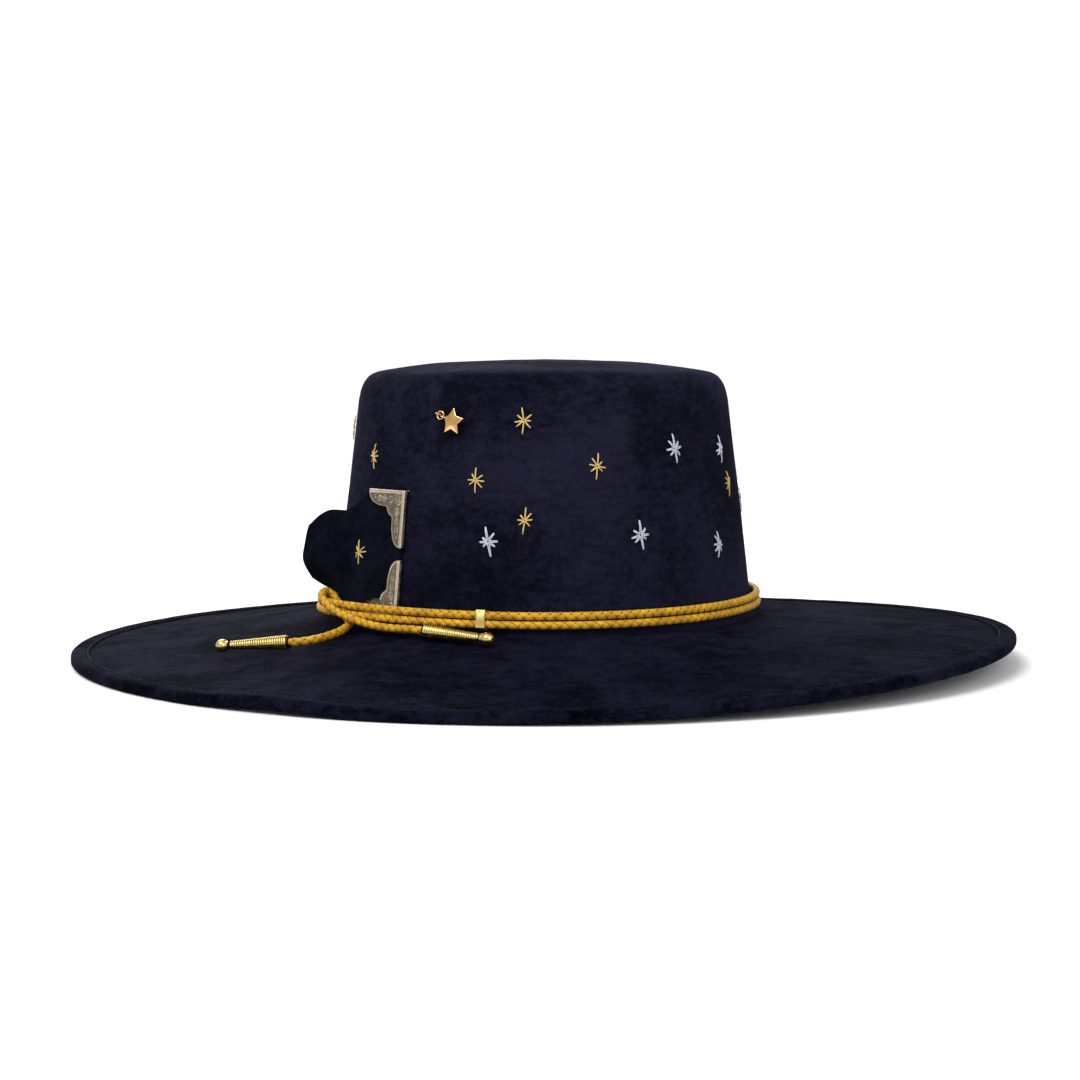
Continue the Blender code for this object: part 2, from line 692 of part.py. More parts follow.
def smooth_curve(points):
    """A dense smooth curve through the route's own points."""
    route = [Vector(p) * MM for p in points]
    ends = [2 * route[0] - route[1]] + route + [2 * route[-1] - route[-2]]
    dense = []
    for a, b, c, d in zip(ends, ends[1:], ends[2:], ends[3:]):
        for i in range(CURVE_SAMPLES):
            t = i / CURVE_SAMPLES
            dense.append(0.5 * (2 * b + (c - a) * t + (2 * a - 5 * b + 4 * c - d) * t ** 2
                                + (3 * b - a - 3 * c + d) * t ** 3))
    dense.append(route[-1])
    return dense


def even_points(curve, spacing):
    """Points at an even spacing along a dense curve."""
    lengths = [0.0]
    for a, b in zip(curve, curve[1:]):
        lengths.append(lengths[-1] + (b - a).length)
    count = max(4, round(lengths[-1] / spacing))
    places = []
    k = 0
    for i in range(count + 1):
        target = lengths[-1] * i / count
        while k < len(lengths) - 2 and lengths[k + 1] < target:
            k += 1
        share = (target - lengths[k]) / (lengths[k + 1] - lengths[k])
        places.append(curve[k].lerp(curve[k + 1], min(max(share, 0.0), 1.0)))
    return places


def cord_tube(name, curve_points):
    """A round cord as a curve with a bevel and filled caps."""
    places = even_points(curve_points, 2.2 * CORD_RADIUS)
    places[0] += (places[1] - places[0]).normalized() * CORD_JOINT / 2
    places[-1] += (places[-2] - places[-1]).normalized() * CORD_JOINT / 2
    curve = bpy.data.curves.new(name, "CURVE")
    curve.dimensions = "3D"
    curve.resolution_u = 1
    curve.render_resolution_u = 0
    curve.bevel_depth = CORD_RADIUS
    curve.bevel_resolution = 2
    curve.use_fill_caps = True
    spline = curve.splines.new("POLY")
    spline.points.add(len(places) - 1)
    for point, place in zip(spline.points, places):
        point.co = (*place, 1.0)
    curve.materials.append(gold_cord())
    piece = bpy.data.objects.new(name, curve)
    bpy.context.scene.collection.objects.link(piece)


def tied_cord():
    """The cord's free left end, the knot round the band, the free right end, and their metal tips."""
    curve = smooth_curve(CORD_ROUTE)
    under = UNDER_BAND * CURVE_SAMPLES
    over = OVER_BAND * CURVE_SAMPLES
    cord_tube("cord_tail_left", curve[:under + 1])
    cord_tube("cord_knot", curve[under:over + 1])
    cord_tube("cord_tail_right", curve[over:])
    cord_tip("cord_tip_left", curve[0], curve[0] - curve[1])
    cord_tip("cord_tip_right", curve[-1], curve[-1] - curve[-2])


def cord_tip(name, cord_end, direction):
    """A turned metal tip: a wide socket end, a tapered barrel and a ball."""
    axis = direction.normalized()
    start = cord_end + axis * GAP
    side = axis.cross(Vector((0, 0, 1))).normalized()
    up = side.cross(axis)
    wide = TIP_WIDE_RADIUS
    narrow = TIP_NARROW_RADIUS
    ball = TIP_BALL_RADIUS
    length = TIP_LENGTH
    neck = length - 2 * ball
    profile = [(0.0, 0.0), (0.85 * wide, 0.0), (wide, 0.6 * MM), (wide, 3.0 * MM), (0.93 * wide, 3.4 * MM),
               (narrow, neck - 1.0 * MM), (0.75 * narrow, neck), (0.80 * ball, neck + 0.4 * ball),
               (ball, neck + ball), (0.7 * ball, length - 0.3 * ball), (0.0, length)]
    sides = 10
    bm = bmesh.new()
    rings = []
    for radius, along in profile:
        centre = start + axis * along
        if radius == 0.0:
            rings.append([bm.verts.new(centre)])
            continue
        rings.append([bm.verts.new(centre + (side * math.cos(2 * math.pi * i / sides)
                                             + up * math.sin(2 * math.pi * i / sides)) * radius)
                      for i in range(sides)])
    for low, high in zip(rings, rings[1:]):
        for i in range(sides):
            k = (i + 1) % sides
            corners = [low[i % len(low)], low[k % len(low)], high[k % len(high)], high[i % len(high)]]
            bm.faces.new(list(dict.fromkeys(corners)))
    add_object(name, mesh_from(bm, name), brass(), start)


def keeper():
    """A flat metal loop round both cords, free to slide along them."""
    low = band_point(KEEPER_AZIMUTH, 0)
    high = band_point(KEEPER_AZIMUTH, 1)
    tangent = crown_frame(KEEPER_AZIMUTH, low.z)[0]
    rise = high - low
    pitch = rise.length
    up = rise.normalized()
    outward = tangent.cross(up).normalized()
    middle = (low + high) / 2
    inner_up = pitch / 2 + CORD_RADIUS + KEEPER_CLEARANCE
    inner_out = CORD_RADIUS + KEEPER_CLEARANCE
    bm = bmesh.new()
    loops = []
    for end in (-0.5, 0.5):
        for grow in (0.0, KEEPER_WALL):
            u, w = inner_up + grow, inner_out + grow
            short_u, short_w = u - KEEPER_CUT, w - KEEPER_CUT
            corners = [(short_u, w), (u, short_w), (u, -short_w), (short_u, -w), (-short_u, -w),
                       (-u, -short_w), (-u, short_w), (-short_u, w)]
            loops.append([bm.verts.new(middle + tangent * KEEPER_WIDTH * end + up * a + outward * b)
                          for a, b in corners])
    near_in, near_out, far_in, far_out = loops
    for i in range(8):
        k = (i + 1) % 8
        bm.faces.new((near_in[i], near_in[k], near_out[k], near_out[i]))
        bm.faces.new((far_in[i], far_in[k], far_out[k], far_out[i]))
        bm.faces.new((near_in[i], near_in[k], far_in[k], far_in[i]))
        bm.faces.new((near_out[i], near_out[k], far_out[k], far_out[i]))
    add_object("band_keeper", mesh_from(bm, "band_keeper"), brass(), bend_centre(KEEPER_AZIMUTH, middle.z))


def bend_centre(azimuth, z):
    """The centre of the band's bend in plan, which the keeper slides about."""
    half = half_width(z, BAND_OUT)
    angle = math.radians(azimuth)
    a, b = half, half + OVAL
    radius = ((a * math.cos(angle)) ** 2 + (b * math.sin(angle)) ** 2) ** 1.5 / (a * b)
    normal = Vector((math.sin(angle) / a, -math.cos(angle) / b, 0.0)).normalized()
    return on_crown(azimuth, z, BAND_OUT) - normal * radius


# ---------------------------------------------------------------- stars and charm

def star_plate(name, place, thread):
    """Eight straight stitches that cross, as one thin star; place(across, up, out) gives its points."""
    colour = {"gold": (0.60, 0.42, 0.08), "silver": (0.55, 0.60, 0.68)}[thread]
    grow = 1.1 if thread == "silver" else 1.0
    bm = bmesh.new()
    layers = []
    for out in (GAP + 0.25 * MM, GAP + 0.25 * MM + THREAD):
        middle = bm.verts.new(place(0.0, 0.0, out))
        rim = []
        for i in range(16):
            angle = math.pi * i / 8
            across, up = STAR_WIDE * grow, STAR_TALL * grow
            if i % 2:
                across = up = STAR_NOTCH * grow
            elif i % 4:
                across, up = 0.9 * across, 0.8 * up
            rim.append(bm.verts.new(place(across * math.cos(angle), up * math.sin(angle), out)))
        for i in range(16):
            bm.faces.new((middle, rim[i], rim[(i + 1) % 16]))
        layers.append(rim)
    for i in range(16):
        k = (i + 1) % 16
        bm.faces.new((layers[0][i], layers[0][k], layers[1][k], layers[1][i]))
    add_object(name, mesh_from(bm, name), finish(f"{thread}_thread", colour, 0.45))


def stars():
    """The stars sewn round the crown, and the one on the flap."""
    for name, azimuth, share, thread in STARS:
        z = BASE_HEIGHT + share * (CROWN_HEIGHT - SHOULDER_DROP)

        def on_wall(across, up, out, azimuth=azimuth, z=z):
            return wrap(azimuth, z, across, up, out)

        star_plate(f"star_{name}", on_wall, thread)

    def on_flap(across, up, out):
        z = FLAP_BOTTOM + FLAP_STAR_HEIGHT + up
        share = FRONT_SHARE * (FLAP_STAR_ALONG - across) / flap_reach(z)
        return flap_place(share, z, FLAP_THICKNESS / 2 + out)

    star_plate("star_gold_flap", on_flap, "gold")


def torus_into(bm, centre, first, second, radius, wire, sides, turns):
    """Add a round wire ring that lies in the plane of two directions."""
    axis = first.cross(second).normalized()
    rings = []
    for i in range(turns):
        angle = 2 * math.pi * i / turns
        ray = first * math.cos(angle) + second * math.sin(angle)
        ring = []
        for j in range(sides):
            bend = 2 * math.pi * j / sides
            offset = ray * (radius + wire * math.cos(bend)) + axis * wire * math.sin(bend)
            ring.append(bm.verts.new(centre + offset))
        rings.append(ring)
    for i in range(turns):
        after = rings[(i + 1) % turns]
        for j in range(sides):
            k = (j + 1) % sides
            bm.faces.new((rings[i][j], after[j], after[k], rings[i][k]))


def charm():
    """A puffed star on a jump ring, and the loop of thread that holds the ring to the crown."""
    tangent, upward, outward = crown_frame(CHARM_AZIMUTH, CHARM_HEIGHT)
    ring_centre = on_crown(CHARM_AZIMUTH, CHARM_HEIGHT) + outward * CHARM_OFF_WALL
    toward = tangent * math.cos(CHARM_TILT) + upward * math.sin(CHARM_TILT)
    across = outward.cross(toward).normalized()
    gold = finish("charm_gold", (0.83, 0.55, 0.30), 0.12, 1.0)

    bm = bmesh.new()
    torus_into(bm, ring_centre, toward, across, RING_RADIUS, RING_WIRE, 6, 16)
    thread_place = ring_centre - toward * RING_RADIUS
    add_object("charm_jump_ring", mesh_from(bm, "charm_jump_ring"), gold, thread_place)

    # the lug's hole lies across the ring's wire, so the two can turn on each other
    lug_centre = ring_centre + toward * RING_RADIUS
    star_centre = lug_centre + toward * (LUG_RADIUS - LUG_SINK + CHARM_RADIUS * CHARM_LUG_ARM)
    bm = bmesh.new()
    front = bm.verts.new(star_centre + outward * CHARM_HALF_THICKNESS)
    back = bm.verts.new(star_centre - outward * CHARM_HALF_THICKNESS)
    rim = []
    for i in range(10):
        angle = math.pi + math.pi * i / 5
        radius = CHARM_RADIUS * (CHARM_WAIST if i % 2 else CHARM_LUG_ARM if i == 0 else 1.0)
        ray = toward * math.cos(angle) + across * math.sin(angle)
        point = star_centre + ray * radius
        rim.append((bm.verts.new(point + outward * CHARM_EDGE), bm.verts.new(point - outward * CHARM_EDGE)))
    for i in range(10):
        k = (i + 1) % 10
        bm.faces.new((front, rim[i][0], rim[k][0]))
        bm.faces.new((back, rim[i][1], rim[k][1]))
        bm.faces.new((rim[i][0], rim[k][0], rim[k][1], rim[i][1]))
    star = add_object("charm_star", mesh_from(bm, "charm_star"), gold, lug_centre)

    bm = bmesh.new()
    torus_into(bm, lug_centre, toward, outward, LUG_RADIUS, LUG_WIRE, 6, 12)
    lug = add_object("charm_lug", mesh_from(bm, "charm_lug"), gold, lug_centre)
    lug.hide_render = True
    lug.display_type = "WIRE"
    joined = star.modifiers.new("lug", "BOOLEAN")
    joined.operation = "UNION"
    joined.object = lug

    thread = finish("gold_thread", (0.60, 0.42, 0.08), 0.45)
    wire = LOOP_RADIUS
    reach = RING_WIRE + GAP + wire
    foot = CHARM_OFF_WALL - GAP
    path = [(-reach, -foot)]
    path += [(-reach * math.cos(math.pi * i / 6), reach * math.sin(math.pi * i / 6)) for i in range(7)]
    path += [(reach, -foot)]
    bm = bmesh.new()
    rings = []
    for i, (a, b) in enumerate(path):
        before = path[max(i - 1, 0)]
        after = path[min(i + 1, len(path) - 1)]
        along = (toward * (after[0] - before[0]) + outward * (after[1] - before[1])).normalized()
        side = along.cross(across)
        centre = thread_place + toward * a + outward * b
        rings.append([bm.verts.new(centre + (side * math.cos(math.pi * j / 3)
                                             + across * math.sin(math.pi * j / 3)) * wire) for j in range(6)])
    for low, high in zip(rings, rings[1:]):
        for j in range(6):
            k = (j + 1) % 6
            bm.faces.new((low[j], low[k], high[k], high[j]))
    bm.faces.new(rings[0])
    bm.faces.new(rings[-1])
    add_object("charm_thread", mesh_from(bm, "charm_thread"), thread)


# ---------------------------------------------------------------- assembly

def clear_scene():
    for old in list(bpy.data.objects):
        bpy.data.objects.remove(old, do_unlink=True)


def main():
    clear_scene()
    crown_suede()
    crown_stiffener()
    lining_side()
    lining_tip()
    sweatband()
    sweatband_reed()
    sweatband_bow()
    brim()
    velvet_flap()
    corner_guard("corner_guard_upper", FLAP_TOP - GAP, -1.0)
    corner_guard("corner_guard_lower", FLAP_BOTTOM + GAP, 1.0)
    band_cord("band_cord_lower_turn", 0)
    band_cord("band_cord_upper_turn", 1)
    tied_cord()
    keeper()
    stars()
    charm()


main()
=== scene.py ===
import logging
import math
from dataclasses import dataclass
from enum import Enum
from functools import partial
from typing import Callable, Sequence

import bpy
import numpy as np
from mathutils import Matrix, Vector


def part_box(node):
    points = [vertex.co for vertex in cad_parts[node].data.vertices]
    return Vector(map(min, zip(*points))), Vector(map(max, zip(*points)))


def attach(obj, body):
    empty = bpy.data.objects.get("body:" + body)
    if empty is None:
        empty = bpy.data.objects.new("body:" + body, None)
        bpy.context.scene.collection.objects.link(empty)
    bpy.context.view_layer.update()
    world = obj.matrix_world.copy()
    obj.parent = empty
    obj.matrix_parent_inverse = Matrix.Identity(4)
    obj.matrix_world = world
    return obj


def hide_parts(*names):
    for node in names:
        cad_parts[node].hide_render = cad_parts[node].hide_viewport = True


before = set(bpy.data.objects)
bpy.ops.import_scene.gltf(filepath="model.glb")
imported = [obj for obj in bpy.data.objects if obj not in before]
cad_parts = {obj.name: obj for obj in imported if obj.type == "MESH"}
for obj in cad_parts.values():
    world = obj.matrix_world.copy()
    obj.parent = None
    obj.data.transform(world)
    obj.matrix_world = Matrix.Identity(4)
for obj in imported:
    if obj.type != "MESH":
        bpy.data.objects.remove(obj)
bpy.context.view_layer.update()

MM = 0.001
GAP = 0.3 * MM      # clearance between pieces that touch
WELD = 0.01 * MM    # vertices nearer than this are one
UP = Vector((0.0, 0.0, 1.0))
log = logging.getLogger("hat")
Triple = tuple[float, float, float]
Place = Callable[[float, float, float], Vector]
Socket = bpy.types.NodeSocket
Piece = bpy.types.Object


class Thread(Enum):
    """The two embroidery threads."""

    GOLD = "gold"
    SILVER = "silver"


# ---------------------------------------------------------------- shader building

class Nodes:
    """A short way to add and join nodes in one node tree."""

    def __init__(self, tree: bpy.types.NodeTree) -> None:
        """Keep the tree."""
        self.tree = tree

    def join(self, value: Socket, socket: Socket) -> None:
        """Link a value to a socket."""
        self.tree.links.new(value, socket)

    def add(self, kind: str, inputs: dict | None = None, **settings: object) -> bpy.types.Node:
        """Add a node.

        Args:
            kind: the node's type name.
            inputs: values or sockets for its inputs, by name or number.
            settings: properties of the node.

        Returns:
            The new node.
        """
        node = self.tree.nodes.new(kind)
        for name, value in settings.items():
            setattr(node, name, value)
        for key, value in (inputs or {}).items():
            socket = node.inputs[key]
            if isinstance(value, Socket):
                self.join(value, socket)
            else:
                socket.default_value = value
        return node

    def place(self) -> Socket:
        """Object coordinates."""
        return self.add("ShaderNodeTexCoord").outputs["Object"]

    def attribute(self, name: str) -> Socket:
        """A number stored on the piece's vertices."""
        return self.add("ShaderNodeAttribute", attribute_name=name).outputs["Fac"]

    def math(self, operation: str, first: object, second: object = 0.0, clamp: bool = False) -> Socket:
        """A Math node's result."""
        return self.add("ShaderNodeMath", {0: first, 1: second}, operation=operation, use_clamp=clamp).outputs[0]

    def total(self, *parts: tuple[Socket, float]) -> Socket:
        """The sum of several values, each with its weight."""
        weighed = [self.math("MULTIPLY", value, weight) for value, weight in parts]
        result = weighed[0]
        for value in weighed[1:]:
            result = self.math("ADD", result, value)
        return result

    def noise(self, vector: Socket, scale: object, detail: float = 3.0, roughness: float = 0.5,
              distortion: float = 0.0) -> Socket:
        """A noise pattern's value, from 0 to 1."""
        return self.add("ShaderNodeTexNoise", {"Vector": vector, "Scale": scale, "Detail": detail,
                                               "Roughness": roughness, "Distortion": distortion}).outputs["Fac"]

    def stretch(self, vector: Socket, scale: Triple) -> Socket:
        """Coordinates with each axis scaled."""
        return self.add("ShaderNodeMapping", {"Vector": vector, "Scale": scale}).outputs[0]

    def spread(self, value: Socket, low: float, high: float) -> Socket:
        """A value mapped from 0..1 to low..high."""
        return self.add("ShaderNodeMapRange", {"Value": value, "To Min": low, "To Max": high}).outputs[0]

    def ramp(self, value: Socket, low: float, high: float) -> Socket:
        """A value mapped smoothly from low..high to 0..1."""
        node = self.add("ShaderNodeMapRange", {"Value": value, "From Min": low, "From Max": high},
                        interpolation_type="SMOOTHSTEP")
        return node.outputs[0]

    def blend(self, share: object, first: Triple, second: Triple) -> Socket:
        """A mix of two colours, or of a socket and a colour."""
        node = self.add("ShaderNodeMix", data_type="RGBA")
        for socket, value in ((node.inputs[0], share), (node.inputs[6], first), (node.inputs[7], second)):
            if isinstance(value, Socket):
                self.join(value, socket)
            else:
                socket.default_value = value if isinstance(value, float) else (*value, 1.0)
        return node.outputs[2]


def node_group(name: str, inputs: Sequence[tuple[str, float]], outputs: Sequence[str]) -> tuple[Nodes, dict, dict]:
    """Start a shader node group with named number inputs and value outputs.

    Args:
        name: the group's name.
        inputs: (name, default) for each input; "Vector" becomes a vector.
        outputs: the names of its outputs.

    Returns:
        Its node helper, its input sockets and its output sockets, by name.
    """
    tree = bpy.data.node_groups.new(name, "ShaderNodeTree")
    for label, default in inputs:
        kind = "NodeSocketVector" if label == "Vector" else "NodeSocketFloat"
        socket = tree.interface.new_socket(name=label, in_out="INPUT", socket_type=kind)
        if kind == "NodeSocketFloat":
            socket.default_value = default
    for label in outputs:
        tree.interface.new_socket(name=label, in_out="OUTPUT", socket_type="NodeSocketFloat")
    nodes = Nodes(tree)
    start = tree.nodes.new("NodeGroupInput")
    end = tree.nodes.new("NodeGroupOutput")
    return nodes, {s.name: s for s in start.outputs}, {s.name: s for s in end.inputs}


def make_nap_group() -> bpy.types.NodeTree:
    """Brushed nap: broad blotches, short strokes and fine fibres."""
    nodes, given, out = node_group("Nap", [("Vector", 0.0), ("Blotch", 18.0), ("Fibre", 900.0)],
                                   ["Shade", "Height", "Specks"])
    vector = given["Vector"]
    broad = nodes.noise(vector, given["Blotch"], 4.0, 0.55, 0.6)
    strokes = nodes.noise(nodes.stretch(vector, (1.0, 1.0, 2.6)), 150.0, 4.0, 0.65)
    mid = nodes.noise(vector, 420.0, 3.0, 0.6)
    fibre = nodes.noise(vector, given["Fibre"], 3.0, 0.7)
    shade = nodes.total((broad, 0.42), (strokes, 0.26), (mid, 0.18), (fibre, 0.14))
    nodes.join(nodes.ramp(shade, 0.40, 0.61), out["Shade"])
    nodes.join(nodes.total((mid, 0.5), (fibre, 0.5), (strokes, 0.5)), out["Height"])
    cells = nodes.add("ShaderNodeTexVoronoi", {"Vector": vector, "Scale": 260.0, "Randomness": 1.0})
    chance = nodes.add("ShaderNodeSeparateColor", {0: cells.outputs["Color"]}).outputs[0]
    chosen = nodes.math("GREATER_THAN", chance, 0.985)
    near = nodes.math("LESS_THAN", cells.outputs["Distance"], 0.075)
    nodes.join(nodes.math("MULTIPLY", chosen, near), out["Specks"])
    return nodes.tree


def make_tarnish_group() -> bpy.types.NodeTree:
    """Fine scratches and dull patches on polished metal."""
    nodes, given, out = node_group("Tarnish", [("Vector", 0.0), ("Patch", 260.0)], ["Dull", "Scratch"])
    patch = nodes.noise(given["Vector"], given["Patch"], 4.0, 0.6)
    nodes.join(nodes.ramp(patch, 0.38, 0.72), out["Dull"])
    scratch = nodes.noise(nodes.stretch(given["Vector"], (1.0, 1.0, 9.0)), 900.0, 3.0, 0.6)
    nodes.join(scratch, out["Scratch"])
    return nodes.tree


NAP = make_nap_group()
TARNISH = make_tarnish_group()


def new_material(name: str) -> tuple[Nodes, Socket, bpy.types.Material]:
    """A new material with a Principled shader.

    Returns:
        Its node helper, Object coordinates and the material.
    """
    material = bpy.data.materials.new(name)
    material.use_nodes = True
    nodes = Nodes(material.node_tree)
    return nodes, nodes.place(), material


def surface(nodes: Nodes, links: dict[str, Socket], height: Socket | None = None, strength: float = 0.0,
            depth: float = 0.2 * MM, **fixed: object) -> None:
    """Set a material's Principled shader.

    Args:
        nodes: the material's node helper.
        links: what is linked to each of the shader's sockets, by name.
        height: the bump's height, if it has one.
        strength: of the bump.
        depth: the bump's distance.
        fixed: plain values of the shader's sockets, with _ for a space in the name.
    """
    shader = nodes.tree.nodes["Principled BSDF"]
    for name, value in links.items():
        nodes.join(value, shader.inputs[name])
    if height is not None:
        bump = nodes.add("ShaderNodeBump", {"Strength": strength, "Distance": depth, "Height": height})
        nodes.join(bump.outputs[0], shader.inputs["Normal"])
    for name, value in fixed.items():
        shader.inputs[name.replace("_", " ")].default_value = value


@dataclass(frozen=True)
class NappedCloth:
    """Suede, velvet or felt: a brushed pile with a soft sheen."""

    name: str
    deep: Triple
    pale: Triple
    speck: Triple
    sheen: float
    tint: Triple
    blotch: float = 18.0
    fibre: float = 900.0
    bump: float = 0.6

    def make(self) -> bpy.types.Material:
        """Build the material."""
        nodes, place, material = new_material(self.name)
        nap = nodes.add("ShaderNodeGroup", node_tree=NAP)
        nodes.join(place, nap.inputs["Vector"])
        nap.inputs["Blotch"].default_value = self.blotch
        nap.inputs["Fibre"].default_value = self.fibre
        shade = nap.outputs["Shade"]
        colour = nodes.blend(nap.outputs["Specks"], nodes.blend(shade, self.deep, self.pale), self.speck)
        surface(nodes, {"Base Color": colour, "Roughness": nodes.spread(shade, 1.0, 0.86)}, nap.outputs["Height"],
                self.bump, 0.6 * MM, Specular_IOR_Level=0.015, Sheen_Weight=self.sheen, Sheen_Roughness=0.45,
                Sheen_Tint=(*self.tint, 1.0))
        return material


@dataclass(frozen=True)
class Metal:
    """Polished or antiqued metal; a vertex attribute darkens its low places: painted shade on the tips' barrels
    between the coil's turns, and antique patina in the corners' hollows.
    """

    name: str
    bright: Triple
    dull: Triple
    low: float
    high: float
    # Colour of low places: painted shade on brass, patina on the antique corners.
    hollow_shade_and_patina: Triple | None = None

    def make(self) -> bpy.types.Material:
        """Build the material."""
        nodes, place, material = new_material(self.name)
        tarnish = nodes.add("ShaderNodeGroup", node_tree=TARNISH)
        nodes.join(place, tarnish.inputs["Vector"])
        colour = nodes.blend(tarnish.outputs["Dull"], self.bright, self.dull)
        # Darken low places: painted shade on the tips' barrels, patina on the corners.
        if self.hollow_shade_and_patina:
            colour = nodes.blend(nodes.attribute("hollow_shade_and_patina"), colour, self.hollow_shade_and_patina)
        rough = nodes.spread(tarnish.outputs["Dull"], self.low, self.high)
        surface(nodes, {"Base Color": colour, "Roughness": rough}, tarnish.outputs["Scratch"], 0.05, Metallic=1.0)
        return material


@dataclass(frozen=True)
class CordLeather:
    """Dyed leather strips, with painted shade in the seams between strips: a vertex attribute, 1 in the seams,
    blends in the seam colour.
    """

    name: str
    strip: Triple
    worn: Triple
    # Painted shade in the seams between strips.
    seam: Triple

    def make(self) -> bpy.types.Material:
        """Build the material."""
        nodes, place, material = new_material(self.name)
        low = nodes.attribute("hollow_shade_and_patina")
        patches = nodes.ramp(nodes.noise(place, 170.0, 4.0, 0.6), 0.3, 0.72)
        grain = nodes.noise(place, 2600.0, 3.0, 0.6)
        dyed = nodes.blend(patches, self.strip, self.worn)
        # Painted shade: the deeper into a seam, the nearer to the dark seam colour.
        colour = nodes.blend(nodes.ramp(low, 0.25, 0.95), dyed, self.seam)
        rough = nodes.math("ADD", nodes.spread(patches, 0.30, 0.46), nodes.math("MULTIPLY", low, 0.6), clamp=True)
        surface(nodes, {"Base Color": colour, "Roughness": rough}, grain, 0.25, Specular_IOR_Level=0.3)
        return material


@dataclass(frozen=True)
class SewingThread:
    """Twisted thread with painted shade: its "ply" vertex attribute, from 0 to 1, blends from the painted shade
    colour to the lit thread colour.
    """

    name: str
    light: Triple
    painted_shade: Triple
    shine: float = 0.0
    gloss: float = 0.5

    def make(self) -> bpy.types.Material:
        """Build the material."""
        nodes, place, material = new_material(self.name)
        strands = nodes.noise(place, 3200.0, 2.0, 0.6)
        # Painted light and shade: the ply attribute and fine strands blend the painted shade colour with the lit
        # one.
        share = nodes.ramp(nodes.total((nodes.attribute("ply"), 0.7), (strands, 0.6)), 0.35, 1.0)
        colour = nodes.blend(share, self.painted_shade, self.light)
        rough = nodes.spread(strands, 0.3, 0.6)
        surface(nodes, {"Base Color": colour, "Roughness": rough}, strands, 0.2, 0.1 * MM,
                Metallic=self.shine, Specular_IOR_Level=self.gloss, Sheen_Weight=0.2 * self.gloss)
        return material


@dataclass(frozen=True)
class SmoothGoods:
    """Satin, ribbon, leather or plastic: fine grain over a plain ground."""

    name: str
    deep: Triple
    pale: Triple
    rough: float
    grain: float
    stretch: Triple = (1.0, 1.0, 1.0)
    bump: float = 0.2
    sheen: float = 0.0

    def make(self) -> bpy.types.Material:
        """Build the material."""
        nodes, place, material = new_material(self.name)
        fine = nodes.noise(nodes.stretch(place, self.stretch), self.grain, 4.0, 0.6)
        broad = nodes.noise(place, self.grain / 12.0, 3.0, 0.5)
        share = nodes.ramp(nodes.total((fine, 0.5), (broad, 0.5)), 0.35, 0.65)
        rough = nodes.spread(broad, self.rough * 0.85, self.rough * 1.2)
        colour = nodes.blend(share, self.deep, self.pale)
        surface(nodes, {"Base Color": colour, "Roughness": rough}, fine, self.bump, Sheen_Weight=self.sheen)
        return material


@dataclass(frozen=True)
class Finishes:
    """Every finish of the hat, made once."""

    suede: bpy.types.Material
    # Painted shade: the brim uses a darker copy of the crown's suede.
    shaded_brim_suede: bpy.types.Material
    velvet: bpy.types.Material
    felt: bpy.types.Material
    satin: bpy.types.Material
    leather: bpy.types.Material
    plastic: bpy.types.Material
    ribbon: bpy.types.Material
    steel: bpy.types.Material
    cord: bpy.types.Material
    brass: bpy.types.Material
    guard: bpy.types.Material
    charm: bpy.types.Material
    gold_thread: bpy.types.Material
    silver_thread: bpy.types.Material
    navy_thread: bpy.types.Material


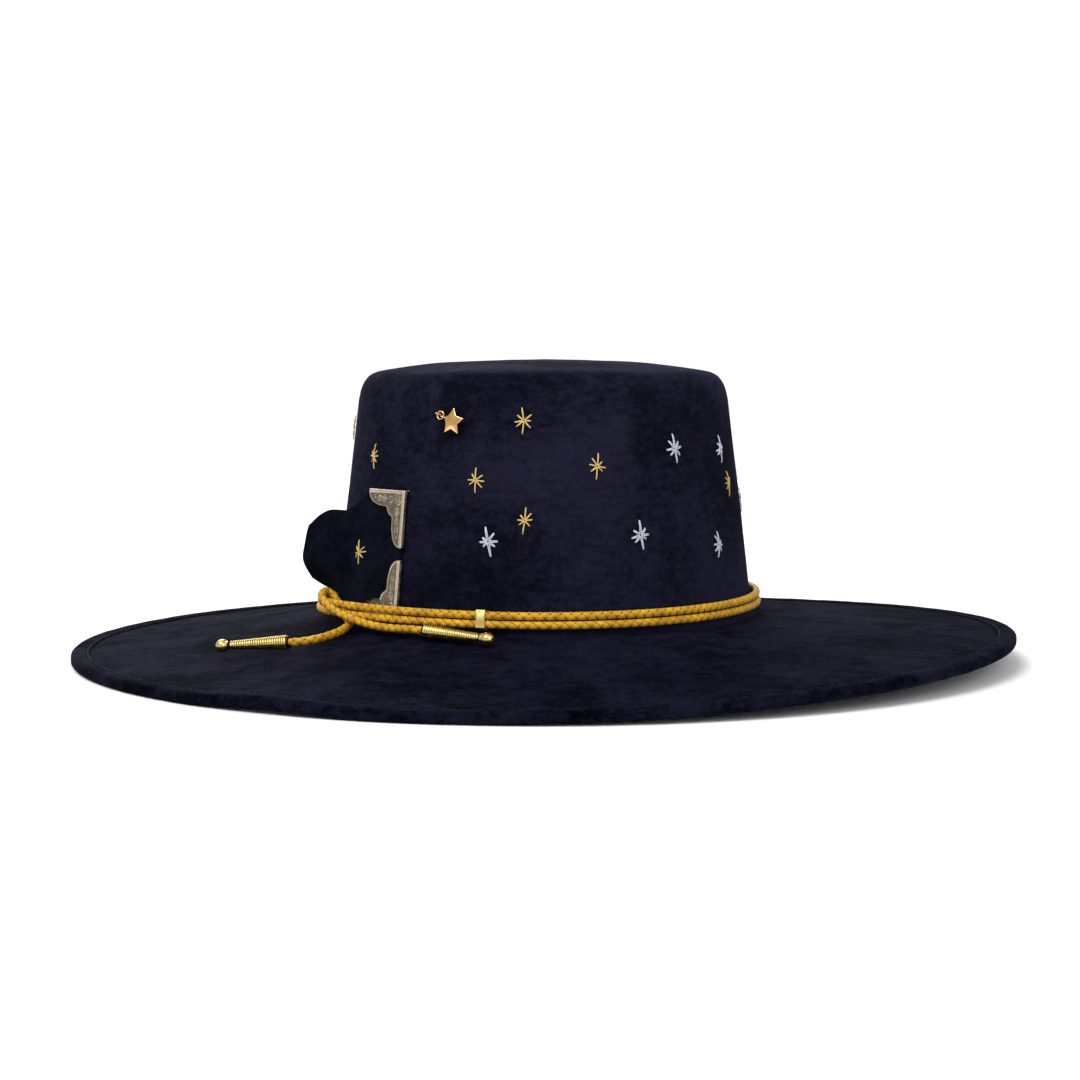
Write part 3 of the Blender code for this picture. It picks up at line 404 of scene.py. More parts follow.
def make_finishes() -> Finishes:
    """Make every finish of the hat."""
    return Finishes(
        suede=NappedCloth("navy suede", (0.0028, 0.0028, 0.0068), (0.0115, 0.0110, 0.0245), (0.10, 0.10, 0.14),
                          0.016, (0.35, 0.42, 1.0)).make(),
        # Painted shade: the crown's suede painted darker for the brim's upward face.
        shaded_brim_suede=NappedCloth("navy suede, brim copy with painted shade", (0.0006, 0.0006, 0.0019), (0.0072, 0.0070, 0.0175),
                               (0.08, 0.08, 0.11), 0.007, (0.30, 0.38, 1.0), 26.0).make(),
        velvet=NappedCloth("black velvet", (0.0008, 0.0012, 0.0024), (0.0038, 0.0050, 0.0090),
                           (0.05, 0.05, 0.06), 0.045, (0.35, 0.45, 0.9), 60.0, 1500.0, 0.15).make(),
        felt=NappedCloth("felt core", (0.02, 0.02, 0.024), (0.04, 0.04, 0.045), (0.1, 0.1, 0.1),
                         0.1, (1.0, 1.0, 1.0)).make(),
        satin=SmoothGoods("navy satin", (0.008, 0.008, 0.018), (0.016, 0.016, 0.034), 0.32, 1800.0,
                          (1.0, 1.0, 0.12), 0.15, 0.3).make(),
        leather=SmoothGoods("black leather", (0.010, 0.009, 0.009), (0.022, 0.019, 0.018), 0.5, 1300.0,
                            bump=0.35).make(),
        plastic=SmoothGoods("reed plastic", (0.03, 0.03, 0.035), (0.05, 0.05, 0.055), 0.4, 900.0).make(),
        ribbon=SmoothGoods("navy ribbon", (0.008, 0.008, 0.03), (0.02, 0.02, 0.06), 0.4, 2400.0,
                           (0.1, 1.0, 1.0), 0.3, 0.3).make(),
        steel=Metal("spring steel", (0.55, 0.55, 0.56), (0.35, 0.35, 0.36), 0.25, 0.45).make(),
        # The cord's third colour is painted shade in the braid's seams.
        cord=CordLeather("gold cord leather", (0.42, 0.205, 0.004), (0.66, 0.36, 0.012),
                         (0.045, 0.016, 0.001)).make(),
        # Brass: its low-place colour is painted shade in the gaps of the tips' coils.
        brass=Metal("brass", (0.74, 0.57, 0.21), (0.58, 0.43, 0.14), 0.22, 0.36, (0.05, 0.032, 0.008)).make(),
        guard=Metal("antique gold plate", (0.66, 0.56, 0.42), (0.50, 0.42, 0.31), 0.24, 0.40,
                    (0.16, 0.125, 0.085)).make(),
        charm=Metal("rose gold", (0.84, 0.50, 0.19), (0.70, 0.38, 0.13), 0.10, 0.20).make(),
        # Each thread's second colour is painted shade, for its grooves and undersides.
        gold_thread=SewingThread("gold thread", (0.78, 0.58, 0.20), (0.22, 0.12, 0.010), 0.3).make(),
        silver_thread=SewingThread("silver thread", (0.70, 0.75, 0.82), (0.13, 0.15, 0.20), 0.15).make(),
        navy_thread=SewingThread("navy thread", (0.007, 0.007, 0.013), (0.0015, 0.0015, 0.003),
                                 gloss=0.03).make(),
    )


# ---------------------------------------------------------------- modelling helpers

def deselect() -> None:
    """Leave edit mode and select nothing."""
    if bpy.context.object and bpy.context.object.mode != "OBJECT":
        bpy.ops.object.mode_set(mode="OBJECT")
    bpy.ops.object.select_all(action="DESELECT")


def take(piece: Piece) -> Piece:
    """Select one object only, and make it the active one."""
    deselect()
    piece.select_set(True)
    bpy.context.view_layer.objects.active = piece
    return piece


def primitive(kind: str, **settings: object) -> Piece:
    """Add a mesh primitive, alone in the selection."""
    deselect()
    getattr(bpy.ops.mesh, f"primitive_{kind}_add")(**settings)
    return bpy.context.object


def apply_modifier(piece: Piece, kind: str, **settings: object) -> None:
    """Add a modifier to a piece and apply it."""
    take(piece)
    modifier = piece.modifiers.new(kind.lower(), kind)
    for name, value in settings.items():
        setattr(modifier, name, value)
    bpy.ops.object.modifier_apply(modifier=modifier.name)


def edit_all(piece: Piece, *steps: Callable[[], object]) -> None:
    """Run mesh operators one after the other, each on all of a piece."""
    take(piece)
    bpy.ops.object.mode_set(mode="EDIT")
    for step in steps:
        bpy.ops.mesh.select_all(action="SELECT")
        step()
    bpy.ops.object.mode_set(mode="OBJECT")


def weld() -> None:
    """Merge the vertices that lie together."""
    bpy.ops.mesh.remove_doubles(threshold=WELD)


def face_outwards() -> None:
    """Turn the selected faces outwards."""
    bpy.ops.mesh.normals_make_consistent(inside=False)


def extrude(x: float, y: float, z: float) -> None:
    """Extrude the selection by a step."""
    bpy.ops.mesh.extrude_region_move(TRANSFORM_OT_translate={"value": (x, y, z)})


def apply_place(piece: Piece) -> None:
    """Put a piece's place, turn and scale into its mesh."""
    take(piece)
    bpy.ops.object.transform_apply(location=True, rotation=True, scale=True)


def smooth_faces(degrees: float) -> None:
    """Smooth the selected piece, but for edges sharper than an angle."""
    bpy.ops.object.shade_smooth_by_angle(angle=math.radians(degrees))


def join(piece: Piece, *others: Piece) -> None:
    """Join other pieces to a piece."""
    take(piece)
    for other in others:
        other.select_set(True)
    bpy.ops.object.join()


def roughen(piece: Piece, grain: float, depth: float, **settings: object) -> None:
    """Make a surface a little uneven, as hand work leaves it."""
    uneven = bpy.data.textures.new("uneven", "CLOUDS")
    uneven.noise_scale = grain
    apply_modifier(piece, "DISPLACE", texture=uneven, strength=depth, mid_level=0.5, texture_coords="LOCAL",
                   **settings)


def shape(piece: Piece, move: Callable[[Vector], Vector]) -> None:
    """Move every vertex of a piece by a rule, as a sculptor would."""
    for vertex in piece.data.vertices:
        vertex.co = move(vertex.co)
    piece.data.update()


def settle(piece: Piece, angle: float = 40.0) -> None:
    """Apply a piece's place, close its seams, turn its faces outwards and smooth it."""
    apply_place(piece)
    edit_all(piece, weld, face_outwards)
    smooth_faces(angle)


def dress(piece: Piece, name: str, material: bpy.types.Material,
          replaced: Sequence[str] = (), body: str = "root") -> Piece:
    """Name a finished piece, give it its finish and fix it to the frame.

    Args:
        piece: the finished mesh object.
        name: its name.
        material: its finish.
        replaced: the CAD nodes it stands for.
        body: the CAD body it rides on.

    Returns:
        The piece.
    """
    piece.name = name
    piece.data.name = name
    piece.data.materials.clear()
    piece.data.materials.append(material)
    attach(piece, body)
    if replaced:
        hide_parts(*replaced)
    log.info("%s: %d faces", name, len(piece.data.polygons))
    return piece


def rows(points: Sequence[Vector]) -> np.ndarray:
    """Vectors as the rows of an array."""
    return np.array([tuple(p) for p in points])


def tube_faces(first: int, rings: int, sides: int, closed: bool = False) -> list[tuple[int, ...]]:
    """Faces of a tube, from rings of vertices.

    Args:
        first: the number of its first vertex.
        rings: how many rings it has.
        sides: vertices in each ring.
        closed: whether its last ring joins its first; if not, both ends are capped.

    Returns:
        The faces, as vertex numbers.
    """
    faces = []
    for i in range(rings if closed else rings - 1):
        here, after = first + i * sides, first + (i + 1) % rings * sides
        for j in range(sides):
            k = (j + 1) % sides
            faces.append((here + j, here + k, after + k, after + j))
    if not closed:
        faces.append(tuple(first + j for j in range(sides))[::-1])
        faces.append(tuple(first + (rings - 1) * sides + j for j in range(sides)))
    return faces


def mesh_object(name: str, points: Sequence[Vector] | np.ndarray, faces: Sequence[Sequence[int]]) -> Piece:
    """A mesh object from points and faces."""
    mesh = bpy.data.meshes.new(name)
    mesh.from_pydata([tuple(p) for p in points], [], faces)
    mesh.update()
    piece = bpy.data.objects.new(name, mesh)
    bpy.context.scene.collection.objects.link(piece)
    return piece


def set_attribute(piece: Piece, name: str, values: np.ndarray) -> None:
    """Store one number per vertex on a piece."""
    attribute = piece.data.attributes.new(name, "FLOAT", "POINT")
    attribute.data.foreach_set("value", np.asarray(values, np.float32).ravel())


def ring_stack(name: str, stations: Sequence[tuple[float, float, float]], segments: int,
               pole: float | None = None) -> Piece:
    """Model an oval shell: a circle is stretched to the first station and extruded through the rest.

    Args:
        name: the new object's name.
        stations: (half width, half length, height) of each ring.
        segments: vertices round each ring.
        pole: the height at which the last ring closes to a point, if it does.

    Returns:
        The open shell.
    """
    piece = primitive("circle", vertices=segments, radius=1.0)
    piece.name = name
    bpy.ops.object.mode_set(mode="EDIT")
    bpy.ops.mesh.select_all(action="SELECT")
    wide, long, z = stations[0]
    bpy.ops.transform.resize(value=(wide, long, 1.0), center_override=(0.0, 0.0, 0.0))
    bpy.ops.transform.translate(value=(0.0, 0.0, z))
    for new_wide, new_long, new_z in stations[1:]:
        extrude(0.0, 0.0, new_z - z)
        bpy.ops.transform.resize(value=(new_wide / wide, new_long / long, 1.0), center_override=(0.0, 0.0, new_z))
        wide, long, z = new_wide, new_long, new_z
    if pole is not None:
        extrude(0.0, 0.0, pole - z)
        bpy.ops.mesh.merge(type="CENTER")
    bpy.ops.object.mode_set(mode="OBJECT")
    return piece


def ring_from_torus(name: str, segments: int, sides: int,
                    section: Callable[[float, float], Vector]) -> Piece:
    """Model a closed ring: a torus whose every vertex is moved to its place.

    Args:
        name: the new object's name.
        segments: vertices round the hat.
        sides: vertices round the section.
        section: gives the place for an azimuth and an angle round the section, in degrees.

    Returns:
        The ring.
    """
    piece = primitive("torus", major_radius=1.0, minor_radius=0.25, major_segments=segments, minor_segments=sides)
    piece.name = name

    def moved(at: Vector) -> Vector:
        """The place of a vertex of the torus."""
        azimuth = math.degrees(math.atan2(at.x, -at.y))
        angle = math.degrees(math.atan2(at.z, math.hypot(at.x, at.y) - 1.0))
        return section(azimuth, angle)

    shape(piece, moved)
    return piece


def signed(azimuth: float) -> float:
    """An azimuth between -180 and 180 degrees."""
    return (azimuth + 180.0) % 360.0 - 180.0


def soften(value: float) -> float:
    """A smooth step from 0 to 1."""
    value = min(1.0, max(0.0, value))
    return value * value * (3.0 - 2.0 * value)


def smooth_bump(distance: float, reach: float) -> float:
    """1 in the middle, falling smoothly to 0 at the given reach."""
    return math.cos(distance / reach * math.pi / 2) ** 2 if abs(distance) < reach else 0.0


def smooth_curve(points: Sequence[Vector], steps: int) -> list[Vector]:
    """A smooth curve through a route's own points, with some steps between each two."""
    ends = [2 * points[0] - points[1], *points, 2 * points[-1] - points[-2]]
    dense = []
    for a, b, c, d in zip(ends, ends[1:], ends[2:], ends[3:]):
        for i in range(steps):
            t = i / steps
            dense.append(0.5 * (2 * b + (c - a) * t + (2 * a - 5 * b + 4 * c - d) * t ** 2
                                + (3 * b - a - 3 * c + d) * t ** 3))
    return dense + [points[-1]]


def even_points(curve: Sequence[Vector], spacing: float) -> list[Vector]:
    """Points at an even spacing along a dense curve."""
    places = rows(curve)
    lengths = np.concatenate([[0.0], np.cumsum(np.linalg.norm(np.diff(places, axis=0), axis=1))])
    count = max(2, round(lengths[-1] / spacing))
    targets = np.linspace(0.0, lengths[-1], count + 1)
    return [Vector(p) for p in np.stack([np.interp(targets, lengths, places[:, k]) for k in range(3)], 1)]


# ---------------------------------------------------------------- the hat's shape

@dataclass(frozen=True)
class HatShape:
    """The block the hat is shaped on: its crown wall and the surface of its brim."""

    crown_half: float = 88.9 * MM
    oval: float = 19.0 * MM
    crown_taper: float = 0.1165
    base: float = 19.2 * MM
    crown_height: float = 106.4 * MM
    shoulder_drop: float = 17.0 * MM
    dome_rise: float = 4.4 * MM
    foot_flare: float = 3.0 * MM
    brim_half: float = 199.0 * MM
    brim_oval: float = 10.0 * MM
    brim_curve: float = 1.25
    hem_width: float = 8.0 * MM
    hem_level: float = 1.0 * MM
    hem_thickness: float = 5.0 * MM
    right_lift: float = 8.0 * MM
    right_lift_at: float = 78.0
    right_lift_reach: float = 95.0
    left_lift: float = 1.7 * MM
    left_lift_at: float = -30.0
    left_lift_reach: float = 12.0
    wall_depth: float = 3.4 * MM
    brim_skin: float = 0.9 * MM
    brim_core: float = 1.4 * MM

    @staticmethod
    def turn_to(azimuth: float, half_x: float, half_y: float) -> tuple[float, float]:
        """The point of an oval at an azimuth, in plan."""
        angle = math.radians(azimuth)
        return half_x * math.sin(angle), -half_y * math.cos(angle)

    def half_width(self, z: float, out: float = 0.0) -> float:
        """Half the crown's width at a height, plus a distance outwards."""
        return self.crown_half - self.crown_taper * (z - self.base) + out

    def on_crown(self, azimuth: float, z: float, out: float = 0.0) -> Vector:
        """A point beside the crown wall."""
        half = self.half_width(z, out)
        return Vector((*self.turn_to(azimuth, half, half + self.oval), z))

    def crown_frame(self, azimuth: float, z: float) -> tuple[Vector, Vector, Vector]:
        """The wall's tangent, upward and outward directions at a point."""
        step = 0.01
        tangent = (self.on_crown(azimuth + step, z) - self.on_crown(azimuth - step, z)).normalized()
        upward = (self.on_crown(azimuth, z + step * MM) - self.on_crown(azimuth, z)).normalized()
        return tangent, upward, tangent.cross(upward).normalized()

    def wrap(self, azimuth: float, z: float, across: float, up: float, out: float) -> Vector:
        """A point on the wall, reached by going across and up from a place on it."""
        step = 0.01
        rate = (self.on_crown(azimuth + step, z) - self.on_crown(azimuth, z)).length / step
        return self.on_crown(azimuth + across / rate, z + up, out)

    def edge_lift(self, azimuth: float) -> float:
        """How far the brim's edge waves above the ground."""
        turn = signed(azimuth)
        return (self.right_lift * smooth_bump(turn - self.right_lift_at, self.right_lift_reach)
                + self.left_lift * smooth_bump(turn - self.left_lift_at, self.left_lift_reach))

    @property
    def opening(self) -> float:
        """Half width of the brim's opening."""
        return self.crown_half - self.wall_depth

    @property
    def span(self) -> float:
        """From the opening to the brim's edge."""
        return self.brim_half - self.opening

    @property
    def hem_share(self) -> float:
        """How far across the brim it has come down to the hem."""
        return 1.0 - (self.hem_width + self.hem_level) / self.span

    def brim_half_sizes(self, t: float) -> tuple[float, float]:
        """Half width and half length of the brim's ring at a share of its width."""
        half = self.opening + self.span * t
        return half, half + self.oval + (self.brim_oval - self.oval) * min(t / self.hem_share, 1.0)

    def brim_height(self, t: float, lift: float) -> float:
        """Height of the brim's middle surface where its edge is lifted by so much."""
        edge = self.hem_thickness / 2 + lift
        stack = 2 * self.brim_skin + self.brim_core + 2 * GAP
        level = (self.crown_half - self.opening) / self.span
        slope = (1.0 - min(max(t - level, 0.0) / (self.hem_share - level), 1.0)) ** self.brim_curve
        return edge + (self.base - stack / 2 - edge) * slope

    def crown_profile(self) -> list[tuple[float, float]]:
        """(half width, height) of the crown's outline, from its foot to near its middle."""
        top = self.base + self.crown_height
        turn = top - self.shoulder_drop
        wall = self.half_width(turn)
        rim = top - self.dome_rise
        flare = []
        for degrees in (80.0, 60.0, 40.0, 20.0, 0.0):
            angle = math.radians(degrees)
            z = self.base + self.foot_flare * (1 - math.sin(angle))
            flare.append((self.half_width(z, self.foot_flare * (1 - math.cos(angle))), z))
        rise = turn - flare[-1][1]
        walls = [(self.half_width(z), z) for z in (flare[-1][1] + rise * i / 14 for i in range(1, 14))]
        bends = [(wall, turn), (wall - 1.1 * MM, turn + 4.6 * MM), (wall - 2.9 * MM, turn + 8.2 * MM),
                 (wall - 6.0 * MM, rim - 1.6 * MM), (wall - 13.0 * MM, rim + 0.2 * MM),
                 (wall - 34.0 * MM, rim + 0.65 * self.dome_rise), (wall - 60.0 * MM, top - 0.35 * MM)]
        curve = smooth_curve([Vector((h, 0.0, z)) for h, z in bends], 8)
        spaced = even_points(curve, 1.6 * MM)
        return flare + walls + [(p.x, p.z) for p in spaced]

    @property
    def shoulder_half(self) -> float:
        """Half width at which the crown's plan starts to grow round."""
        return self.half_width(self.base + self.crown_height - self.shoulder_drop) - 6.0 * MM

    def ring_sizes(self, half: float) -> tuple[float, float]:
        """Half width and half length of a crown ring."""
        return half, half + self.oval * min(1.0, half / self.shoulder_half)


@dataclass(frozen=True)
class FlapShape:
    """The velvet flap: flat in front, folded back at its left end."""

    hat: HatShape
    azimuth: float = -40.4
    foot: float = 4.8 * MM
    height: float = 49.5 * MM
    heading: float = math.radians(49.0)
    reach: float = 64.0 * MM
    narrowing: float = 10.0 * MM
    thickness: float = 1.5 * MM
    fold_radius: float = 3.4 * MM
    returned: float = 9.0 * MM
    off_wall: float = 1.3 * MM
    pull: float = 4.0 * MM
    dip: float = 9.3 * MM
    corner_leg: float = 22.0 * MM
    front: float = 0.7
    folded: float = 0.88
    fold_turn: float = math.radians(200.0)

    @property
    def low(self) -> float:
        """Height of its lower edge at the right end."""
        return self.hat.base + self.foot

    @property
    def high(self) -> float:
        """Height of its upper edge at the right end."""
        return self.low + self.height

    def length_at(self, z: float) -> float:
        """How far the flap runs before it folds back."""
        middle = self.low + 0.42 * self.height
        away = min(1.0, abs(z - middle) / (0.44 * self.height))
        return self.reach - self.narrowing * away ** (1.3 if z < middle else 2.2)

    def place(self, share: float, z: float, side: float = 0.0) -> Vector:
        """A point of the flap.

        Args:
            share: runs from 0 at its right edge round the fold to 1 at its hidden end.
            z: height.
            side: distance off the middle of the cloth, to its outer face when positive.
        """
        start = self.hat.on_crown(self.azimuth, z, self.off_wall)
        along = Vector((-math.cos(self.heading), math.sin(self.heading), 0.0))
        outward = Vector((-math.sin(self.heading), -math.cos(self.heading), 0.0))
        reach = self.length_at(z)
        distance = reach * share / self.front
        below = soften((self.low + 20.0 * MM - z) / (12.0 * MM))
        start -= outward * (self.pull * soften((distance - self.corner_leg) / (18.0 * MM)) * below)
        if share <= self.front:
            return start + along * distance + outward * side
        corner = start + along * reach - outward * self.fold_radius
        angle = self.fold_turn * min(1.0, (share - self.front) / (self.folded - self.front))
        ray = outward * math.cos(angle) + along * math.sin(angle)
        point = corner + ray * (self.fold_radius + side)
        if share > self.folded:
            back = along * math.cos(self.fold_turn) - outward * math.sin(self.fold_turn)
            point += back * (self.returned * (share - self.folded) / (1.0 - self.folded))
        return point

    def bottom(self, share: float) -> float:
        """Height of its lower edge."""
        tail = max(0.0, share - 0.55) / 0.15
        return self.low + 7.0 * MM * soften((share - 0.47) / 0.09) + 3.0 * MM * min(tail, 1.0) ** 2

    def top(self, share: float) -> float:
        """Height of its upper edge."""
        distance = self.reach * share / self.front
        fold = min(1.0, max(0.0, share - 0.58) / 0.12)
        sink = soften((distance - self.corner_leg - 0.5 * MM) / (22.0 * MM))
        round_off = 3.0 * MM * soften((share - 0.67) / 0.13)
        return self.high - self.dip * sink - 4.5 * MM * fold ** 2 - round_off


# ---------------------------------------------------------------- camera, light and floor

@dataclass(frozen=True)
class Studio:
    """The camera, the soft lights and the pale floor."""

    distance: float = 1.0
    eye_height: float = 0.1235
    sideways: float = -0.00145
    pitch: float = 4.3
    lens: float = 78.0
    sensor: float = 36.0
    floor_half: float = 1.5
    ambient: float = 0.62
    backdrop: float = 1.05

    def camera(self) -> None:
        """Place the camera before the hat."""
        data = bpy.data.cameras.new("camera")
        data.lens = self.lens
        data.sensor_width = self.sensor
        data.clip_start = 0.01
        data.dof.use_dof = False
        camera = bpy.data.objects.new("camera", data)
        camera.location = (self.sideways, -self.distance, self.eye_height)
        camera.rotation_euler = (math.radians(90.0 - self.pitch), 0.0, 0.0)
        bpy.context.scene.collection.objects.link(camera)
        bpy.context.scene.camera = camera

    def light(self, name: str, place: Triple, size: float, power: float, colour: Triple = (1.0, 1.0, 1.0)) -> None:
        """Add a square area light that faces the hat."""
        data = bpy.data.lights.new(name, "AREA")
        data.size = size
        data.energy = power
        data.color = colour
        lamp = bpy.data.objects.new(name, data)
        lamp.location = place
        lamp.rotation_euler = (Vector((0.0, 0.0, 0.06)) - Vector(place)).to_track_quat("-Z", "Y").to_euler()
        bpy.context.scene.collection.objects.link(lamp)

    def lights(self) -> None:
        """A soft overhead key, a front fill, and low light from behind that shows the nap."""
        self.light("key", (-0.8, -1.1, 1.7), 1.2, 34.0)
        self.light("fill", (1.3, -1.4, 0.9), 1.4, 14.0)
        self.light("back", (-0.5, 1.8, 1.2), 1.6, 26.0)
        world = bpy.data.worlds.new("white room")
        world.use_nodes = True
        nodes = Nodes(world.node_tree)
        background = world.node_tree.nodes["Background"]
        background.inputs["Color"].default_value = (1.0, 1.0, 1.0, 1.0)
        seen = nodes.add("ShaderNodeLightPath").outputs["Is Camera Ray"]
        level = nodes.math("ADD", self.ambient, nodes.math("MULTIPLY", seen, self.backdrop - self.ambient))
        nodes.join(level, background.inputs["Strength"])
        bpy.context.scene.world = world
        bpy.context.scene.view_settings.view_transform = "Standard"

    def floor(self) -> None:
        """A wide pale floor under the hat."""
        floor = primitive("plane", size=2 * self.floor_half)
        floor.name = "floor"
        nodes, place, material = new_material("pale floor")
        colour = nodes.blend(nodes.noise(place, 3.0), (0.93, 0.93, 0.93), (0.95, 0.95, 0.95))
        surface(nodes, {"Base Color": colour}, Roughness=0.9)
        floor.data.materials.append(material)
        apply_place(floor)

    def build(self) -> None:
        """Set up the camera, the lights and the floor."""
        self.camera()
        self.lights()
        self.floor()


# ---------------------------------------------------------------- cords

@dataclass(frozen=True)
class BraidedCord:
    """A round cord braided from four flat leather strips."""

    radius: float = 1.6 * MM
    cell: float = 4.0 * MM
    seam_depth: float = 0.30 * MM
    strip_sink: float = 0.10 * MM
    strip_swell: float = 0.16 * MM
    steps: int = 12
    sides: int = 20

    def surface(self, along: np.ndarray, around: np.ndarray) -> tuple[np.ndarray, np.ndarray]:
        """Radius and seam depth share of the braid.

        Args:
            along: distance along the cord.
            around: angle round it, from its outward side.

        Returns:
            The radius at each point, and how far each is into a seam, from 0 to 1.
        """
        travel = math.pi * along / self.cell
        turned = around - math.pi / 4
        first = (turned - travel) / math.pi
        second = (turned + travel) / math.pi
        near_first, near_second = np.round(first), np.round(second)
        first_on_top = (near_first + near_second) % 2 == 0
        off_first = 2 * np.abs(first - near_first)
        off_second = 2 * np.abs(second - near_second)
        across = np.where(first_on_top, off_first, off_second)
        lengthwise = np.where(first_on_top, off_second, off_first)
        depth = np.clip(0.55 * across ** 8 + 1.0 * lengthwise ** 6, 0.0, 1.0)
        swell = self.strip_swell * (1.0 - across ** 2) * (1.0 - lengthwise ** 2)
        return self.radius - self.strip_sink - self.seam_depth * depth + swell, depth

    def tube(self, name: str, centres: np.ndarray, outs: np.ndarray, sides: np.ndarray, lengths: np.ndarray,
             closed: bool) -> Piece:
        """Skin a braid round a centreline.

        Args:
            name: the new object's name.
            centres: points along it.
            outs: its outward direction at each point.
            sides: its sideways direction at each point.
            lengths: distance along it of each point.
            closed: whether its end joins its start.

        Returns:
            The cord, with a vertex attribute of seam depth, which its finish uses to paint shade in the seams.
        """
        angles = np.linspace(0.0, 2 * math.pi, self.sides, endpoint=False)
        along, around = np.meshgrid(lengths, angles, indexing="ij")
        radius, depth = self.surface(along, around)
        points = (centres[:, None] + radius[..., None] * (np.cos(around)[..., None] * outs[:, None]
                                                          + np.sin(around)[..., None] * sides[:, None]))
        piece = mesh_object(name, points.reshape(-1, 3), tube_faces(0, len(centres), self.sides, closed))
        # Seam depth, which the finish uses to paint shade in the seams.
        set_attribute(piece, "hollow_shade_and_patina", depth)
        edit_all(piece, face_outwards)
        smooth_faces(60.0)
        return piece

    def along_route(self, name: str, route: Sequence[Vector], start: float, outward: Vector) -> Piece:
        """A stretch of cord along an open route.

        Args:
            name: the new object's name.
            route: a dense run of points.
            start: distance along the whole cord at which this stretch begins.
            outward: the direction its outward side starts in.

        Returns:
            The cord.
        """
        places = even_points(route, self.cell / self.steps)
        spread = [places[min(i + 1, len(places) - 1)] - places[max(i - 1, 0)] for i in range(len(places))]
        tangents = [s.normalized() for s in spread]
        out = (outward - tangents[0] * outward.dot(tangents[0])).normalized()
        outs = []
        for tangent in tangents:
            out = (out - tangent * out.dot(tangent)).normalized()
            outs.append(out)
        sides = [t.cross(o) for t, o in zip(tangents, outs)]
        steps = [0.0] + [(b - a).length for a, b in zip(places, places[1:])]
        return self.tube(name, rows(places), rows(outs), rows(sides), start + np.cumsum(steps), False)


